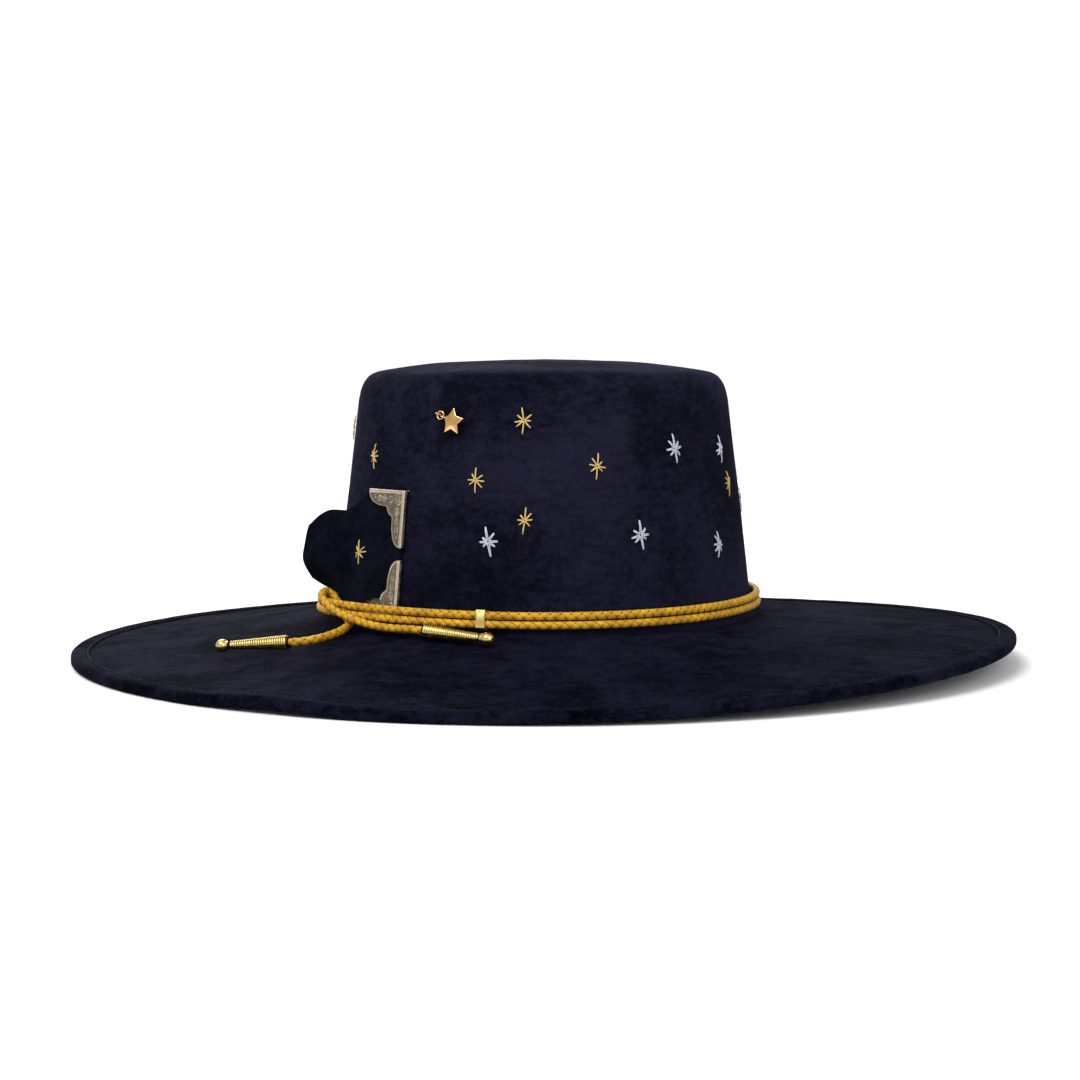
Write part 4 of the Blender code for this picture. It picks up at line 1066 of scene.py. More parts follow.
@dataclass(frozen=True)
class CordBand:
    """The cord round the crown: two turns, a knot, two free tails with metal tips, and a keeper."""

    hat: HatShape
    finishes: Finishes
    braid: BraidedCord = BraidedCord()
    band_out: float = 2.8 * MM
    lower_turn: float = 4.6 * MM
    turn_pitch: float = 3.5 * MM
    under_band: int = 6
    over_band: int = 9
    route_steps: int = 24
    left_length: float = 38.0 * MM
    right_length: float = 84.0 * MM
    tip_length: float = 32.0 * MM
    tip_wide: float = 3.0 * MM
    tip_narrow: float = 1.7 * MM
    tip_ball: float = 2.6 * MM
    wire: float = 0.46 * MM
    wire_pitch: float = 2.26
    keeper_azimuth: float = -15.1
    keeper_width: float = 3.6 * MM
    keeper_wall: float = 0.45 * MM
    keeper_clearance: float = 0.35 * MM
    keeper_corner: float = 1.1 * MM

    @property
    def route(self) -> list[Vector]:
        """The tied cord's route, from its left tip to its right one."""
        points = (
            (-0.0988, -0.0946, 0.0155), (-0.0951, -0.0959, 0.01585), (-0.0900, -0.0943, 0.0165),
            (-0.0848, -0.0889, 0.0173), (-0.0804, -0.0818, 0.0184), (-0.0778, -0.0738, 0.01965),
            (-0.0776, -0.0696, 0.0201), (-0.0782, -0.0654, 0.0204), (-0.0804, -0.0598, 0.0228),
            (-0.0831, -0.0544, 0.0262), (-0.0858, -0.0499, 0.0296), (-0.0887, -0.0506, 0.0313),
            (-0.0898, -0.0567, 0.0306), (-0.0882, -0.0621, 0.0283), (-0.0842, -0.0679, 0.0256),
            (-0.0787, -0.0744, 0.0236), (-0.0717, -0.0811, 0.0218), (-0.0647, -0.0877, 0.0209),
            (-0.0577, -0.0947, 0.0209), (-0.0512, -0.1011, 0.02135), (-0.0464, -0.1042, 0.0211))
        return [Vector(p) for p in points]

    @staticmethod
    def bulge(azimuth: float) -> float:
        """How far the band is pushed off the wall by the flap and the knot under it."""
        stations = ((-92.0, 0.0), (-84.0, 1.0), (-78.0, 3.0), (-72.0, 6.0), (-66.0, 8.3), (-62.0, 8.4),
                    (-57.0, 7.2), (-52.0, 5.6), (-45.0, 3.6), (-39.0, 2.5), (-33.0, 1.4), (-25.0, 0.3),
                    (-20.0, 0.0))
        return float(np.interp(signed(azimuth), *zip(*stations))) * MM

    def band_turn(self, name: str, turn: int, shift: float) -> None:
        """One turn of the band; shift moves its braid along so the two turns differ."""
        z = self.hat.base + self.lower_turn + self.turn_pitch * turn
        dense = []
        for i in range(1441):
            azimuth = i / 4
            near = sum(self.bulge(azimuth + d) for d in (-3.0, -1.5, 0.0, 1.5, 3.0)) / 5
            dense.append(self.hat.on_crown(azimuth, z, self.band_out + near))
        length = sum((b - a).length for a, b in zip(dense, dense[1:]))
        cells = round(length / self.braid.cell / 2) * 2
        places = even_points(dense, length / cells / self.braid.steps)[:-1]
        centres = rows(places)
        tangents = np.roll(centres, -1, axis=0) - np.roll(centres, 1, axis=0)
        tangents /= np.linalg.norm(tangents, axis=1)[:, None]
        outs = np.cross(tangents, tuple(UP))
        outs /= np.linalg.norm(outs, axis=1)[:, None]
        lengths = np.arange(len(centres)) * self.braid.cell / self.braid.steps + shift
        sides = np.cross(tangents, outs)
        piece = self.braid.tube(name, centres, outs, sides, lengths, True)
        dress(piece, name, self.finishes.cord, [f"band_{name}"])

    def tip(self, name: str, node: str, end: Vector, direction: Vector) -> Piece:
        """A metal tip: a wire wound on a tapered barrel, and a ball.

        Args:
            name: the piece's name.
            node: the CAD node it stands for.
            end: the cord's end.
            direction: from the cord's end outwards.

        Returns:
            The tip.
        """
        neck = self.tip_length - 2 * self.tip_ball
        middle = self.tip_length - self.tip_ball
        inside = 1.3 * self.wire
        pitch = self.wire_pitch * self.wire
        turns = int((neck - 1.5 * MM) / pitch)
        coil = primitive("circle", vertices=8, radius=self.wire, rotation=(math.pi / 2, 0.0, 0.0),
                         location=(1.0, 0.0, 0.0))
        apply_place(coil)
        apply_modifier(coil, "SCREW", axis="Z", angle=2 * math.pi, screw_offset=pitch, iterations=turns,
                       steps=20, render_steps=20, use_merge_vertices=False)

        def tapered(at: Vector) -> Vector:
            """Draw the coil in towards the ball."""
            share = min(1.0, max(0.0, at.z / (turns * pitch)))
            barrel = self.tip_wide + (self.tip_narrow - self.tip_wide) * share - self.wire
            off = math.hypot(at.x, at.y)
            reach = (barrel + off - 1.0) / off
            return Vector((at.x * reach, at.y * reach, at.z + self.wire))

        shape(coil, tapered)
        take(coil)
        bpy.ops.object.mode_set(mode="EDIT")
        bpy.ops.mesh.select_all(action="DESELECT")
        bpy.ops.mesh.select_non_manifold()
        bpy.ops.mesh.fill_holes(sides=0)
        bpy.ops.object.mode_set(mode="OBJECT")
        piece = primitive("cone", vertices=40, radius1=self.tip_wide - inside, radius2=self.tip_narrow - inside,
                          depth=neck, location=(0.0, 0.0, neck / 2))
        apply_place(piece)
        apply_modifier(piece, "BEVEL", width=0.25 * MM, segments=3, limit_method="ANGLE")
        # Paint the barrel dark: painted shade in the gaps between the coil's turns.
        set_attribute(piece, "hollow_shade_and_patina", np.ones(len(piece.data.vertices)))
        ball = primitive("uv_sphere", segments=40, ring_count=24, radius=self.tip_ball,
                         location=(0.0, 0.0, middle))
        apply_place(ball)

        def collared(at: Vector) -> Vector:
            """Draw the ball's inner side out to a short flared collar, and flatten its far end."""
            low = middle - at.z
            shoulder = 0.55 * self.tip_ball
            if low > shoulder:
                share = (low - shoulder) / (self.tip_ball - shoulder)
                off = max(math.hypot(at.x, at.y), 1e-9)
                grow = self.tip_narrow * 1.05 / off if share < 0.9 else 1.0
                return Vector((at.x * grow, at.y * grow, at.z - 0.5 * MM * share))
            return Vector((at.x, at.y, min(at.z, middle + 0.94 * self.tip_ball)))

        shape(ball, collared)
        join(piece, ball, coil)
        axis = direction.normalized()
        side = axis.cross(UP).normalized()
        turn = Matrix((side, axis.cross(side), axis)).transposed()
        start = end + axis * GAP
        shape(piece, lambda at: start + turn @ at)
        settle(piece, 50.0)
        return dress(piece, name, self.finishes.brass, [node])

    def tied_ends(self) -> None:
        """The free left tail, the knot round the band, the free right tail, and their tips."""
        curve = smooth_curve(self.route, self.route_steps)
        under, over = self.under_band * self.route_steps, self.over_band * self.route_steps
        left_tip = self.tip("tip_left", "cord_tip_left", curve[0], curve[0] - curve[1])
        right_tip = self.tip("tip_right", "cord_tip_right", curve[-1], curve[-1] - curve[-2])
        left_route = curve[:under + 1][::-1]
        knot_route = curve[under:over + 1]
        right_route = curve[over:]
        left, _, right = (
            dress(self.braid.along_route(name, run, 0.0, Vector(outward)), name, self.finishes.cord,
                  [f"cord_{name}"])
            for name, run, outward in (("tail_left", left_route, (0.0, 0.0, 1.0)),
                                       ("knot", knot_route, (-1.0, 0.0, 0.0)),
                                       ("tail_right", right_route, (-1.0, -1.0, 0.3))))
        for piece, run, length, tip in ((left, left_route, self.left_length, left_tip),
                                        (right, right_route, self.right_length, right_tip)):
            tuple(run[0])
            [tuple(p) for p in even_points(run, 2.0 * MM)]

    def keeper(self) -> None:
        """The flat metal loop round both turns: a rounded bar bent to a rectangle."""
        low = self.hat.on_crown(self.keeper_azimuth, self.hat.base + self.lower_turn, self.band_out)
        high = self.hat.on_crown(self.keeper_azimuth, self.hat.base + self.lower_turn + self.turn_pitch,
                                 self.band_out)
        tangent = self.hat.crown_frame(self.keeper_azimuth, low.z)[0]
        up = (high - low).normalized()
        outward = tangent.cross(up).normalized()
        middle = (low + high) / 2
        room = self.braid.radius + self.keeper_clearance + self.keeper_wall / 2
        half_up = (high - low).length / 2 + room
        loop = primitive("plane", size=1.0)
        bpy.ops.object.mode_set(mode="EDIT")
        bpy.ops.mesh.select_all(action="SELECT")
        bpy.ops.mesh.delete(type="ONLY_FACE")
        bpy.ops.mesh.select_all(action="SELECT")
        bpy.ops.transform.resize(value=(2 * half_up, 2 * room, 1.0), center_override=(0.0, 0.0, 0.0))
        bpy.ops.mesh.bevel(offset=self.keeper_corner, segments=6, affect="VERTICES")
        bpy.ops.mesh.select_all(action="SELECT")
        bpy.ops.transform.translate(value=(0.0, 0.0, -self.keeper_width / 2))
        for _ in range(6):
            extrude(0.0, 0.0, self.keeper_width / 6)
        bpy.ops.object.mode_set(mode="OBJECT")
        apply_modifier(loop, "SOLIDIFY", thickness=self.keeper_wall, offset=0.0)
        apply_modifier(loop, "BEVEL", width=0.12 * MM, segments=3, limit_method="ANGLE")
        shape(loop, lambda at: middle + up * at.x + outward * at.y + tangent * at.z)
        settle(loop, 30.0)
        dress(loop, "keeper", self.finishes.brass, ["band_keeper"], "keeper")

    def build(self) -> None:
        """Make the cords first, then the keeper."""
        self.tied_ends()
        self.band_turn("cord_lower_turn", 0, 0.0)
        self.band_turn("cord_upper_turn", 1, 0.37 * self.braid.cell)
        self.keeper()


# ---------------------------------------------------------------- crown and brim

@dataclass(frozen=True)
class Crown:
    """The suede crown and what lines it."""

    hat: HatShape
    finishes: Finishes
    segments: int = 192
    skin: float = 1.0 * MM
    skin_room: float = 1.2 * MM
    stiffener: float = 1.8 * MM
    lining: float = 0.5 * MM
    band_turn: float = 1.5 * MM
    pleats: int = 40
    reed: float = 0.8 * MM
    satin_wall: float = 0.35 * MM
    satin_top: float = 0.4 * MM
    leather: float = 0.9 * MM

    def suede(self) -> None:
        """The outer skin, drawn up over the block and closed at the top."""
        stations = [(*self.hat.ring_sizes(half), z) for half, z in self.hat.crown_profile()]
        stations = [(w, l, max(z, self.hat.base + GAP)) for w, l, z in stations]
        wide, long, z = stations[-1]
        for share in (0.7, 0.42, 0.18):
            stations.append((wide * share, long * share, z + (1 - share) * 0.35 * MM))
        piece = ring_stack("crown", stations, self.segments, pole=self.hat.base + self.hat.crown_height)
        settle(piece)
        roughen(piece, 45.0 * MM, 0.7 * MM)
        apply_modifier(piece, "SOLIDIFY", thickness=self.skin, offset=-1.0)
        smooth_faces(50.0)
        dress(piece, "crown_skin", self.finishes.suede, ["crown_suede"])

    @property
    def lining_depth(self) -> float:
        """From the crown's outer surface in to the lining."""
        return self.skin_room + GAP + self.stiffener + GAP

    def lining_wall(self) -> None:
        """The satin wall, gathered in soft pleats."""
        low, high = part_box("lining_side")[0].z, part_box("lining_side")[1].z
        stations = []
        for i in range(25):
            z = low + (high - low) * i / 24
            half = self.hat.half_width(z, -self.lining_depth - 0.15 * MM)
            stations.append((half, half + self.hat.oval, z))
        piece = ring_stack("lining", stations, 240)
        settle(piece)

        def pleated(at: Vector) -> Vector:
            """Sink the folds between the pleats."""
            azimuth = math.atan2(at.x, -at.y)
            fold = 0.5 + 0.5 * math.cos(azimuth * self.pleats + 1.3 * math.sin(azimuth * 3))
            sink = 1.0 - 0.006 * fold ** 3
            return Vector((at.x * sink, at.y * sink, at.z))

        shape(piece, pleated)
        apply_modifier(piece, "SOLIDIFY", thickness=self.satin_wall, offset=0.0)
        dress(piece, "lining_wall", self.finishes.satin, ["lining_side"])

    def lining_top(self) -> None:
        """The satin disc inside the crown's top."""
        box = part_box("lining_tip")
        low, top = box[0].z + 0.3 * MM, box[1].z - 0.3 * MM
        stations = []
        for angle in (math.pi / 2 * i / 15 for i in range(15)):
            wide = math.cos(angle) ** 0.6
            stations.append((box[1].x * wide, box[1].y * wide, low + (top - low) * math.sin(angle) ** 1.4))
        piece = ring_stack("lining top", stations, self.segments, pole=top)
        settle(piece)
        apply_modifier(piece, "SOLIDIFY", thickness=self.satin_top, offset=-1.0)
        dress(piece, "lining_top", self.finishes.satin, ["lining_tip"])

    def sweat_leather(self) -> None:
        """The leather band that grips the head, with a turned edge."""
        low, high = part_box("sweatband")[0].z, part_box("sweatband")[1].z
        depth = self.lining_depth + self.lining + GAP + 0.5 * MM
        stations = []
        for i in range(31):
            z = low + (high - low) * i / 30
            lean = max(z, self.hat.base + self.band_turn)
            roll = 0.25 * MM * smooth_bump((high - z) / MM - 1.2, 1.2)
            half = self.hat.half_width(lean, -depth - roll)
            stations.append((half, half + self.hat.oval, z))
        piece = ring_stack("sweatband", stations, self.segments)
        settle(piece)
        apply_modifier(piece, "SOLIDIFY", thickness=self.leather, offset=0.0)
        apply_modifier(piece, "BEVEL", width=0.3 * MM, segments=3, limit_method="ANGLE")
        dress(piece, "sweat_leather", self.finishes.leather, ["sweatband"])
        middle = (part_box("sweatband_reed")[0].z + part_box("sweatband_reed")[1].z) / 2
        half = self.hat.half_width(self.hat.base + self.band_turn, -depth)

        def round_reed(azimuth: float, angle: float) -> Vector:
            """The reed's surface, a little flattened."""
            out = self.reed * math.cos(math.radians(angle))
            x, y = self.hat.turn_to(azimuth, half + out, half + self.hat.oval + out)
            return Vector((x, y, middle + self.reed * 0.85 * math.sin(math.radians(angle))))

        reed = ring_from_torus("reed", self.segments, 12, round_reed)
        settle(reed)
        dress(reed, "reed", self.finishes.plastic, ["sweatband_reed"])

    def bow(self) -> None:
        """The small ribbon bow over the sweatband's back seam: two loops and a centre wrap."""
        low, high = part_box("sweatband_bow")
        middle = (low + high) / 2
        half = (high - low) / 2
        piece = primitive("grid", x_subdivisions=48, y_subdivisions=14, size=2.0)

        def tied(at: Vector) -> Vector:
            """Draw the ribbon in at its waist and puff its loops."""
            waist = 0.34 + 0.66 * soften((abs(at.x) - 0.08) / 0.7)
            puff = 0.5 * MM * math.sin(min(1.0, abs(at.x)) * math.pi) * (1 - at.y ** 2)
            crease = 0.12 * MM * math.cos(at.y * 9.0) * (1.0 - abs(at.x))
            y = low.y + half.y * 0.9 - puff - crease + 2.0 * half.y * 0.35 * at.x ** 2
            return Vector((middle.x + at.x * half.x, y, middle.z + at.y * half.z * waist))

        shape(piece, tied)
        apply_modifier(piece, "SOLIDIFY", thickness=0.35 * MM, offset=0.0)
        settle(piece)
        dress(piece, "bow", self.finishes.ribbon, ["sweatband_bow"])

    def build(self) -> None:
        """Make the crown and its inside."""
        self.suede()
        self.lining_wall()
        self.lining_top()
        self.sweat_leather()
        self.bow()
        for node in ("crown_stiffener", "brim_stiffener"):
            dress_node(node, self.finishes.felt)


def dress_node(node: str, material: bpy.types.Material) -> None:
    """Give a CAD node a better material."""
    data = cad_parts[node].data
    data.materials.clear()
    data.materials.append(material)


@dataclass(frozen=True)
class Brim:
    """The brim's two suede layers, its turned hem and its stitching."""

    hat: HatShape
    finishes: Finishes
    segments: int = 256
    rings: int = 44
    hem_sides: int = 44
    stitch_length: float = 2.3 * MM
    stitch_pitch: float = 3.4 * MM
    stitch_inset: float = 6.9 * MM
    stitch_sides: int = 6
    stitch_radius: float = 0.28 * MM
    stitch_lift: float = 0.16 * MM
    stitch_sink: float = 0.30 * MM
    hem_square: float = 0.62
    hem_flat: float = 0.72

    def layer(self, name: str, node: str, face: float, thickness: float) -> None:
        """One suede layer, from the opening to the hem.

        Args:
            name: the piece's name.
            node: the CAD node it stands for.
            face: height of its outer face from the brim's middle surface.
            thickness: of the layer, downwards from an upper face when positive.
        """
        last = 1.0 - (self.hat.hem_width + 0.15 * MM) / self.hat.span
        shares = [last * i / (self.rings - 1) for i in range(self.rings)]
        stations = [(*self.hat.brim_half_sizes(t), self.hat.brim_height(t, 0.0) + face) for t in shares]
        piece = ring_stack(name, stations, self.segments)
        for i, vertex in enumerate(piece.data.vertices):
            t = shares[i // self.segments]
            wide, long = self.hat.brim_half_sizes(t)
            azimuth = math.degrees(math.atan2(vertex.co.x / wide, -vertex.co.y / long))
            vertex.co.z = self.hat.brim_height(t, self.hat.edge_lift(azimuth)) + face
            sunk = 0.45 * MM * soften((t - last) * self.hat.span / (1.2 * MM) + 1.0)
            vertex.co.z -= sunk if face > 0 else -sunk
        free = [i for i in range(len(piece.data.vertices)) if 6 < i // self.segments < self.rings - 3]
        piece.vertex_groups.new(name="free").add(free, 1.0, "REPLACE")
        roughen(piece, 50.0 * MM, 0.8 * MM, direction="Z", vertex_group="free")
        settle(piece)
        points_up = sum(p.normal.z for p in piece.data.polygons) > 0
        if points_up != (face > 0):
            edit_all(piece, bpy.ops.mesh.flip_normals)
        apply_modifier(piece, "SOLIDIFY", thickness=thickness, offset=-1.0)
        smooth_faces(50.0)
        # The brim's finish is the suede with painted shade, darker than the crown's.
        dress(piece, name, self.finishes.shaded_brim_suede, [node])

    def hem_section(self, angle: float) -> tuple[float, float]:
        """(inward distance, height) of the hem's section at an angle, 0 at its outer edge."""
        half = self.hat.hem_thickness / 2
        ray = math.radians(angle)
        across = math.copysign(abs(math.cos(ray)) ** self.hem_square, math.cos(ray))
        up = math.copysign(abs(math.sin(ray)) ** self.hem_flat, math.sin(ray))
        inward = self.hat.hem_width / 2 * (1.0 - across)
        seam = 0.42 * MM * smooth_bump((inward - self.stitch_inset) / MM, 0.8)
        return inward, up * half * (1.0 - 0.10 * soften(inward / self.hat.hem_width)) - math.copysign(seam, up)

    def on_hem(self, azimuth: float, inward: float, up: float) -> Vector:
        """A place on the hem: inwards from its edge and up from its middle."""
        reach = self.hat.brim_half - inward
        x, y = self.hat.turn_to(azimuth, reach, reach + self.hat.brim_oval)
        return Vector((x, y, self.hat.brim_height(1.0, self.hat.edge_lift(azimuth)) + up))

    def hem(self) -> None:
        """The turned edge, a little uneven, with a sunk stitching line."""
        piece = ring_from_torus("hem", 384, self.hem_sides,
                                lambda azimuth, angle: self.on_hem(azimuth, *self.hem_section(angle)))
        settle(piece)
        roughen(piece, 12.0 * MM, 0.35 * MM)
        # The hem takes the brim's suede with painted shade.
        dress(piece, "hem", self.finishes.shaded_brim_suede, ["brim_edge_hem"])

    def stitches(self) -> None:
        """The row of thread that holds the hem, sunk in its line."""
        height = self.hat.hem_thickness / 2 * 0.9 - self.stitch_sink
        line = [self.on_hem(i / 2, self.stitch_inset, height) for i in range(721)]
        places = even_points(line, self.stitch_pitch / 2)[:-1]
        shares = (-1.0, -0.72, -0.3, 0.3, 0.72, 1.0)
        points, faces, painted_light = [], [], []
        for i in range(0, len(places) - 1, 2):
            start, end = places[i], places[(i + 1) % len(places)]
            along = (end - start).normalized()
            middle = (start + end) / 2
            out = along.cross(UP).normalized()
            up = out.cross(along)
            faces += tube_faces(len(points), len(shares), self.stitch_sides)
            for share in shares:
                thick = self.stitch_radius * (1.0 - 0.75 * abs(share) ** 3)
                lift = self.stitch_lift * (1.0 - 2.4 * share ** 4)
                for k in range(self.stitch_sides):
                    ray = 2 * math.pi * k / self.stitch_sides
                    points.append(middle + along * share * self.stitch_length / 2
                                  + up * (lift + thick * math.sin(ray)) + out * thick * math.cos(ray))
                    # Painted light: lighter on the stitch's top, painted shade underneath.
                    painted_light.append(0.4 + 0.6 * math.sin(ray))
        piece = mesh_object("hem_stitches", points, faces)
        set_attribute(piece, "ply", np.array(painted_light))
        settle(piece, 60.0)
        dress(piece, "hem_stitches", self.finishes.navy_thread)

    def build(self) -> None:
        """Make the brim."""
        middle = self.hat.brim_core / 2 + GAP
        self.layer("brim_top", "brim_suede_upper", middle + self.hat.brim_skin, self.hat.brim_skin)
        self.layer("brim_under", "brim_suede_lower", -middle - self.hat.brim_skin, self.hat.brim_skin)
        self.hem()
        self.stitches()
        dress_node("brim_edge_wire", self.finishes.steel)


# ---------------------------------------------------------------- flap and its corners

@dataclass(frozen=True)
class SideFlap:
    """The folded velvet panel and the two embossed corners on its right edge."""

    flap: FlapShape
    finishes: Finishes
    columns: int = 110
    rows: int = 60
    corner_width: float = 6.4 * MM
    plate: float = 0.45 * MM
    relief: float = 0.22 * MM
    flange_depth: float = 1.2 * MM
    bend: float = 0.55 * MM
    bend_steps: int = 4
    border: float = 0.8 * MM
    steps: int = 26

    def cloth_point(self, u: float, v: float) -> Vector:
        """A point of the cloth's middle surface, with soft dents and a rolled edge."""
        turned = min(1.0, max(0.0, (u - 0.56) / 0.23))
        rounded = 1.0 - math.sqrt(1.0 - turned ** 2)
        low = self.flap.bottom(u) + 5.0 * MM * rounded
        high = self.flap.top(u) - 6.0 * MM * rounded
        free = soften((u - 0.30) / 0.2)
        z = low + (high - low) * v
        dent = (0.50 * math.sin(9.0 * u + 2.6 * v) * math.sin(5.2 * v + 1.1)
                + 0.30 * math.sin(21.0 * u - 6.0 * v)) * MM * free
        inside = 1.0 if u < self.flap.front else 0.4
        return self.flap.place(u, z, dent * inside)

    def cloth(self) -> None:
        """The velvet, as one thick sheet folded back at its left end."""
        piece = primitive("grid", x_subdivisions=self.columns, y_subdivisions=self.rows, size=1.0)
        shape(piece, lambda at: self.cloth_point(min(1.0, max(0.0, at.x + 0.5)), min(1.0, max(0.0, at.y + 0.5))))
        apply_modifier(piece, "SOLIDIFY", thickness=self.flap.thickness, offset=0.0, use_rim=True)
        apply_modifier(piece, "BEVEL", width=0.45 * MM, segments=3, limit_method="ANGLE",
                       angle_limit=math.radians(50.0))
        settle(piece, 60.0)
        dress(piece, "flap", self.finishes.velvet, ["velvet_flap"])

    def inner_edge(self) -> list[Vector]:
        """The corner's scalloped inner edge, from the end of one leg to the end of the other."""
        leg, wide = self.flap.corner_leg, self.corner_width
        half = [(leg, 0.0), (leg - 0.5 * MM, 1.9 * MM), (leg - 1.7 * MM, 3.5 * MM), (leg - 3.6 * MM, 4.7 * MM),
                (leg - 5.6 * MM, 5.3 * MM), (leg - 7.6 * MM, wide - 0.6 * MM), (wide + 4.6 * MM, wide - 0.5 * MM),
                (wide + 3.4 * MM, wide), (wide + 2.9 * MM, wide + 1.2 * MM), (wide + 2.2 * MM, wide + 2.2 * MM)]
        points = half + [(y, x) for x, y in half[-2::-1]]
        return even_points(smooth_curve([Vector((x, y, 0.0)) for x, y in points], 8), 0.35 * MM)

    def scroll_height(self, x: float, y: float) -> float:
        """Height of the embossed scrolls at a place on the plate, from 0 to 1."""
        if y > x:
            x, y = y, x
        height = 0.0
        for i, (cx, cy, radius) in enumerate(((3.2, 3.0, 2.4), (7.6, 3.3, 1.9), (11.4, 2.9, 1.7),
                                              (14.7, 2.6, 1.45), (17.6, 2.3, 1.15))):
            dx, dy = x / MM - cx, y / MM - cy
            off = math.hypot(dx, dy)
            if off < radius:
                way = 1.0 if i % 2 else -1.0
                arm = off / 0.95 - way * math.atan2(dy, dx) / (2 * math.pi) + 0.3 * i
                near = abs((arm + 0.5) % 1.0 - 0.5)
                height = max(height, soften(1.0 - near / 0.34) * soften((radius - off) / 0.3))
        leaf = 0.5 + 0.5 * math.sin(x / MM * 4.4) * math.cos(y / MM * 4.9 + 0.8)
        return max(height, 0.45 * soften((leaf - 0.62) / 0.3))

    def corner(self, name: str, node: str, edge_z: float, way: float) -> None:
        """One corner: a flat plate drawn in plan, embossed, then laid on the flap.

        Args:
            name: the piece's name.
            node: the CAD node it stands for.
            edge_z: height of the flap's edge that it caps.
            way: -1 where its leg runs down, 1 where it runs up.
        """
        rim = self.inner_edge()
        steps = self.steps
        points, hollow_shade_and_patina = [], []
        for end in rim:
            for j in range(steps + 1):
                share = j / steps
                x, y = end.x * share, end.y * share
                inset = min(1.0, (1.0 - share) * end.length / self.border)
                border = 1.0 - min(inset, soften((min(x, y) - 0.5 * MM) / (0.4 * MM)))
                lift = max(border, self.scroll_height(x, y) if border < 1.0 else 1.0)
                points.append(Vector((x, y, self.relief * (lift - 1.0))))
                # 1 in the emboss's low places, which the antique finish darkens with patina.
                hollow_shade_and_patina.append(1.0 - lift)
        starts = [i * (steps + 1) + j for i in range(len(rim) - 1) for j in range(steps)]
        flat = mesh_object(name, points, [(a, a + 1, a + steps + 2, a + steps + 1) for a in starts])
        set_attribute(flat, "hollow_shade_and_patina", np.array(hollow_shade_and_patina))
        edit_all(flat, weld, face_outwards)
        for key in (0, 1):
            take(flat)
            edges = [e for e in flat.data.edges
                     if all(abs(flat.data.vertices[v].co[key]) < WELD for v in e.vertices)]
            for element in (*flat.data.vertices, *flat.data.edges, *flat.data.polygons):
                element.select = False
            for edge in edges:
                edge.select = True
            bpy.ops.object.mode_set(mode="EDIT")
            out = [0.0, 0.0, 0.0]
            turns = [math.pi / 2 * step / self.bend_steps for step in range(self.bend_steps + 1)]
            for before, angle in zip(turns, turns[1:]):
                out[key] = -self.bend * (math.sin(angle) - math.sin(before))
                out[2] = self.bend * (math.cos(angle) - math.cos(before))
                extrude(*out)
            extrude(0.0, 0.0, -self.flange_depth)
            bpy.ops.object.mode_set(mode="OBJECT")
        apply_modifier(flat, "SOLIDIFY", thickness=self.plate, offset=-1.0)
        near = self.flap.thickness / 2 + GAP / 2 + self.plate

        def laid(at: Vector) -> Vector:
            """Lay a point of the plate on the flap."""
            z = edge_z + way * at.y
            share = self.flap.front * at.x / self.flap.length_at(z)
            return self.flap.place(share, z, near + at.z)

        highest = max(v.co.z for v in flat.data.vertices)
        if highest > self.plate * 0.5:
            shape(flat, lambda at: Vector((at.x, at.y, at.z - highest)))
        shape(flat, laid)
        settle(flat, 35.0)
        dress(flat, name, self.finishes.guard, [node])

    def build(self) -> None:
        """Make the flap and its corners."""
        self.cloth()
        self.corner("corner_upper", "corner_guard_upper", self.flap.high - GAP, -1.0)
        self.corner("corner_lower", "corner_guard_lower", self.flap.low + GAP, 1.0)


# ---------------------------------------------------------------- stars and charm

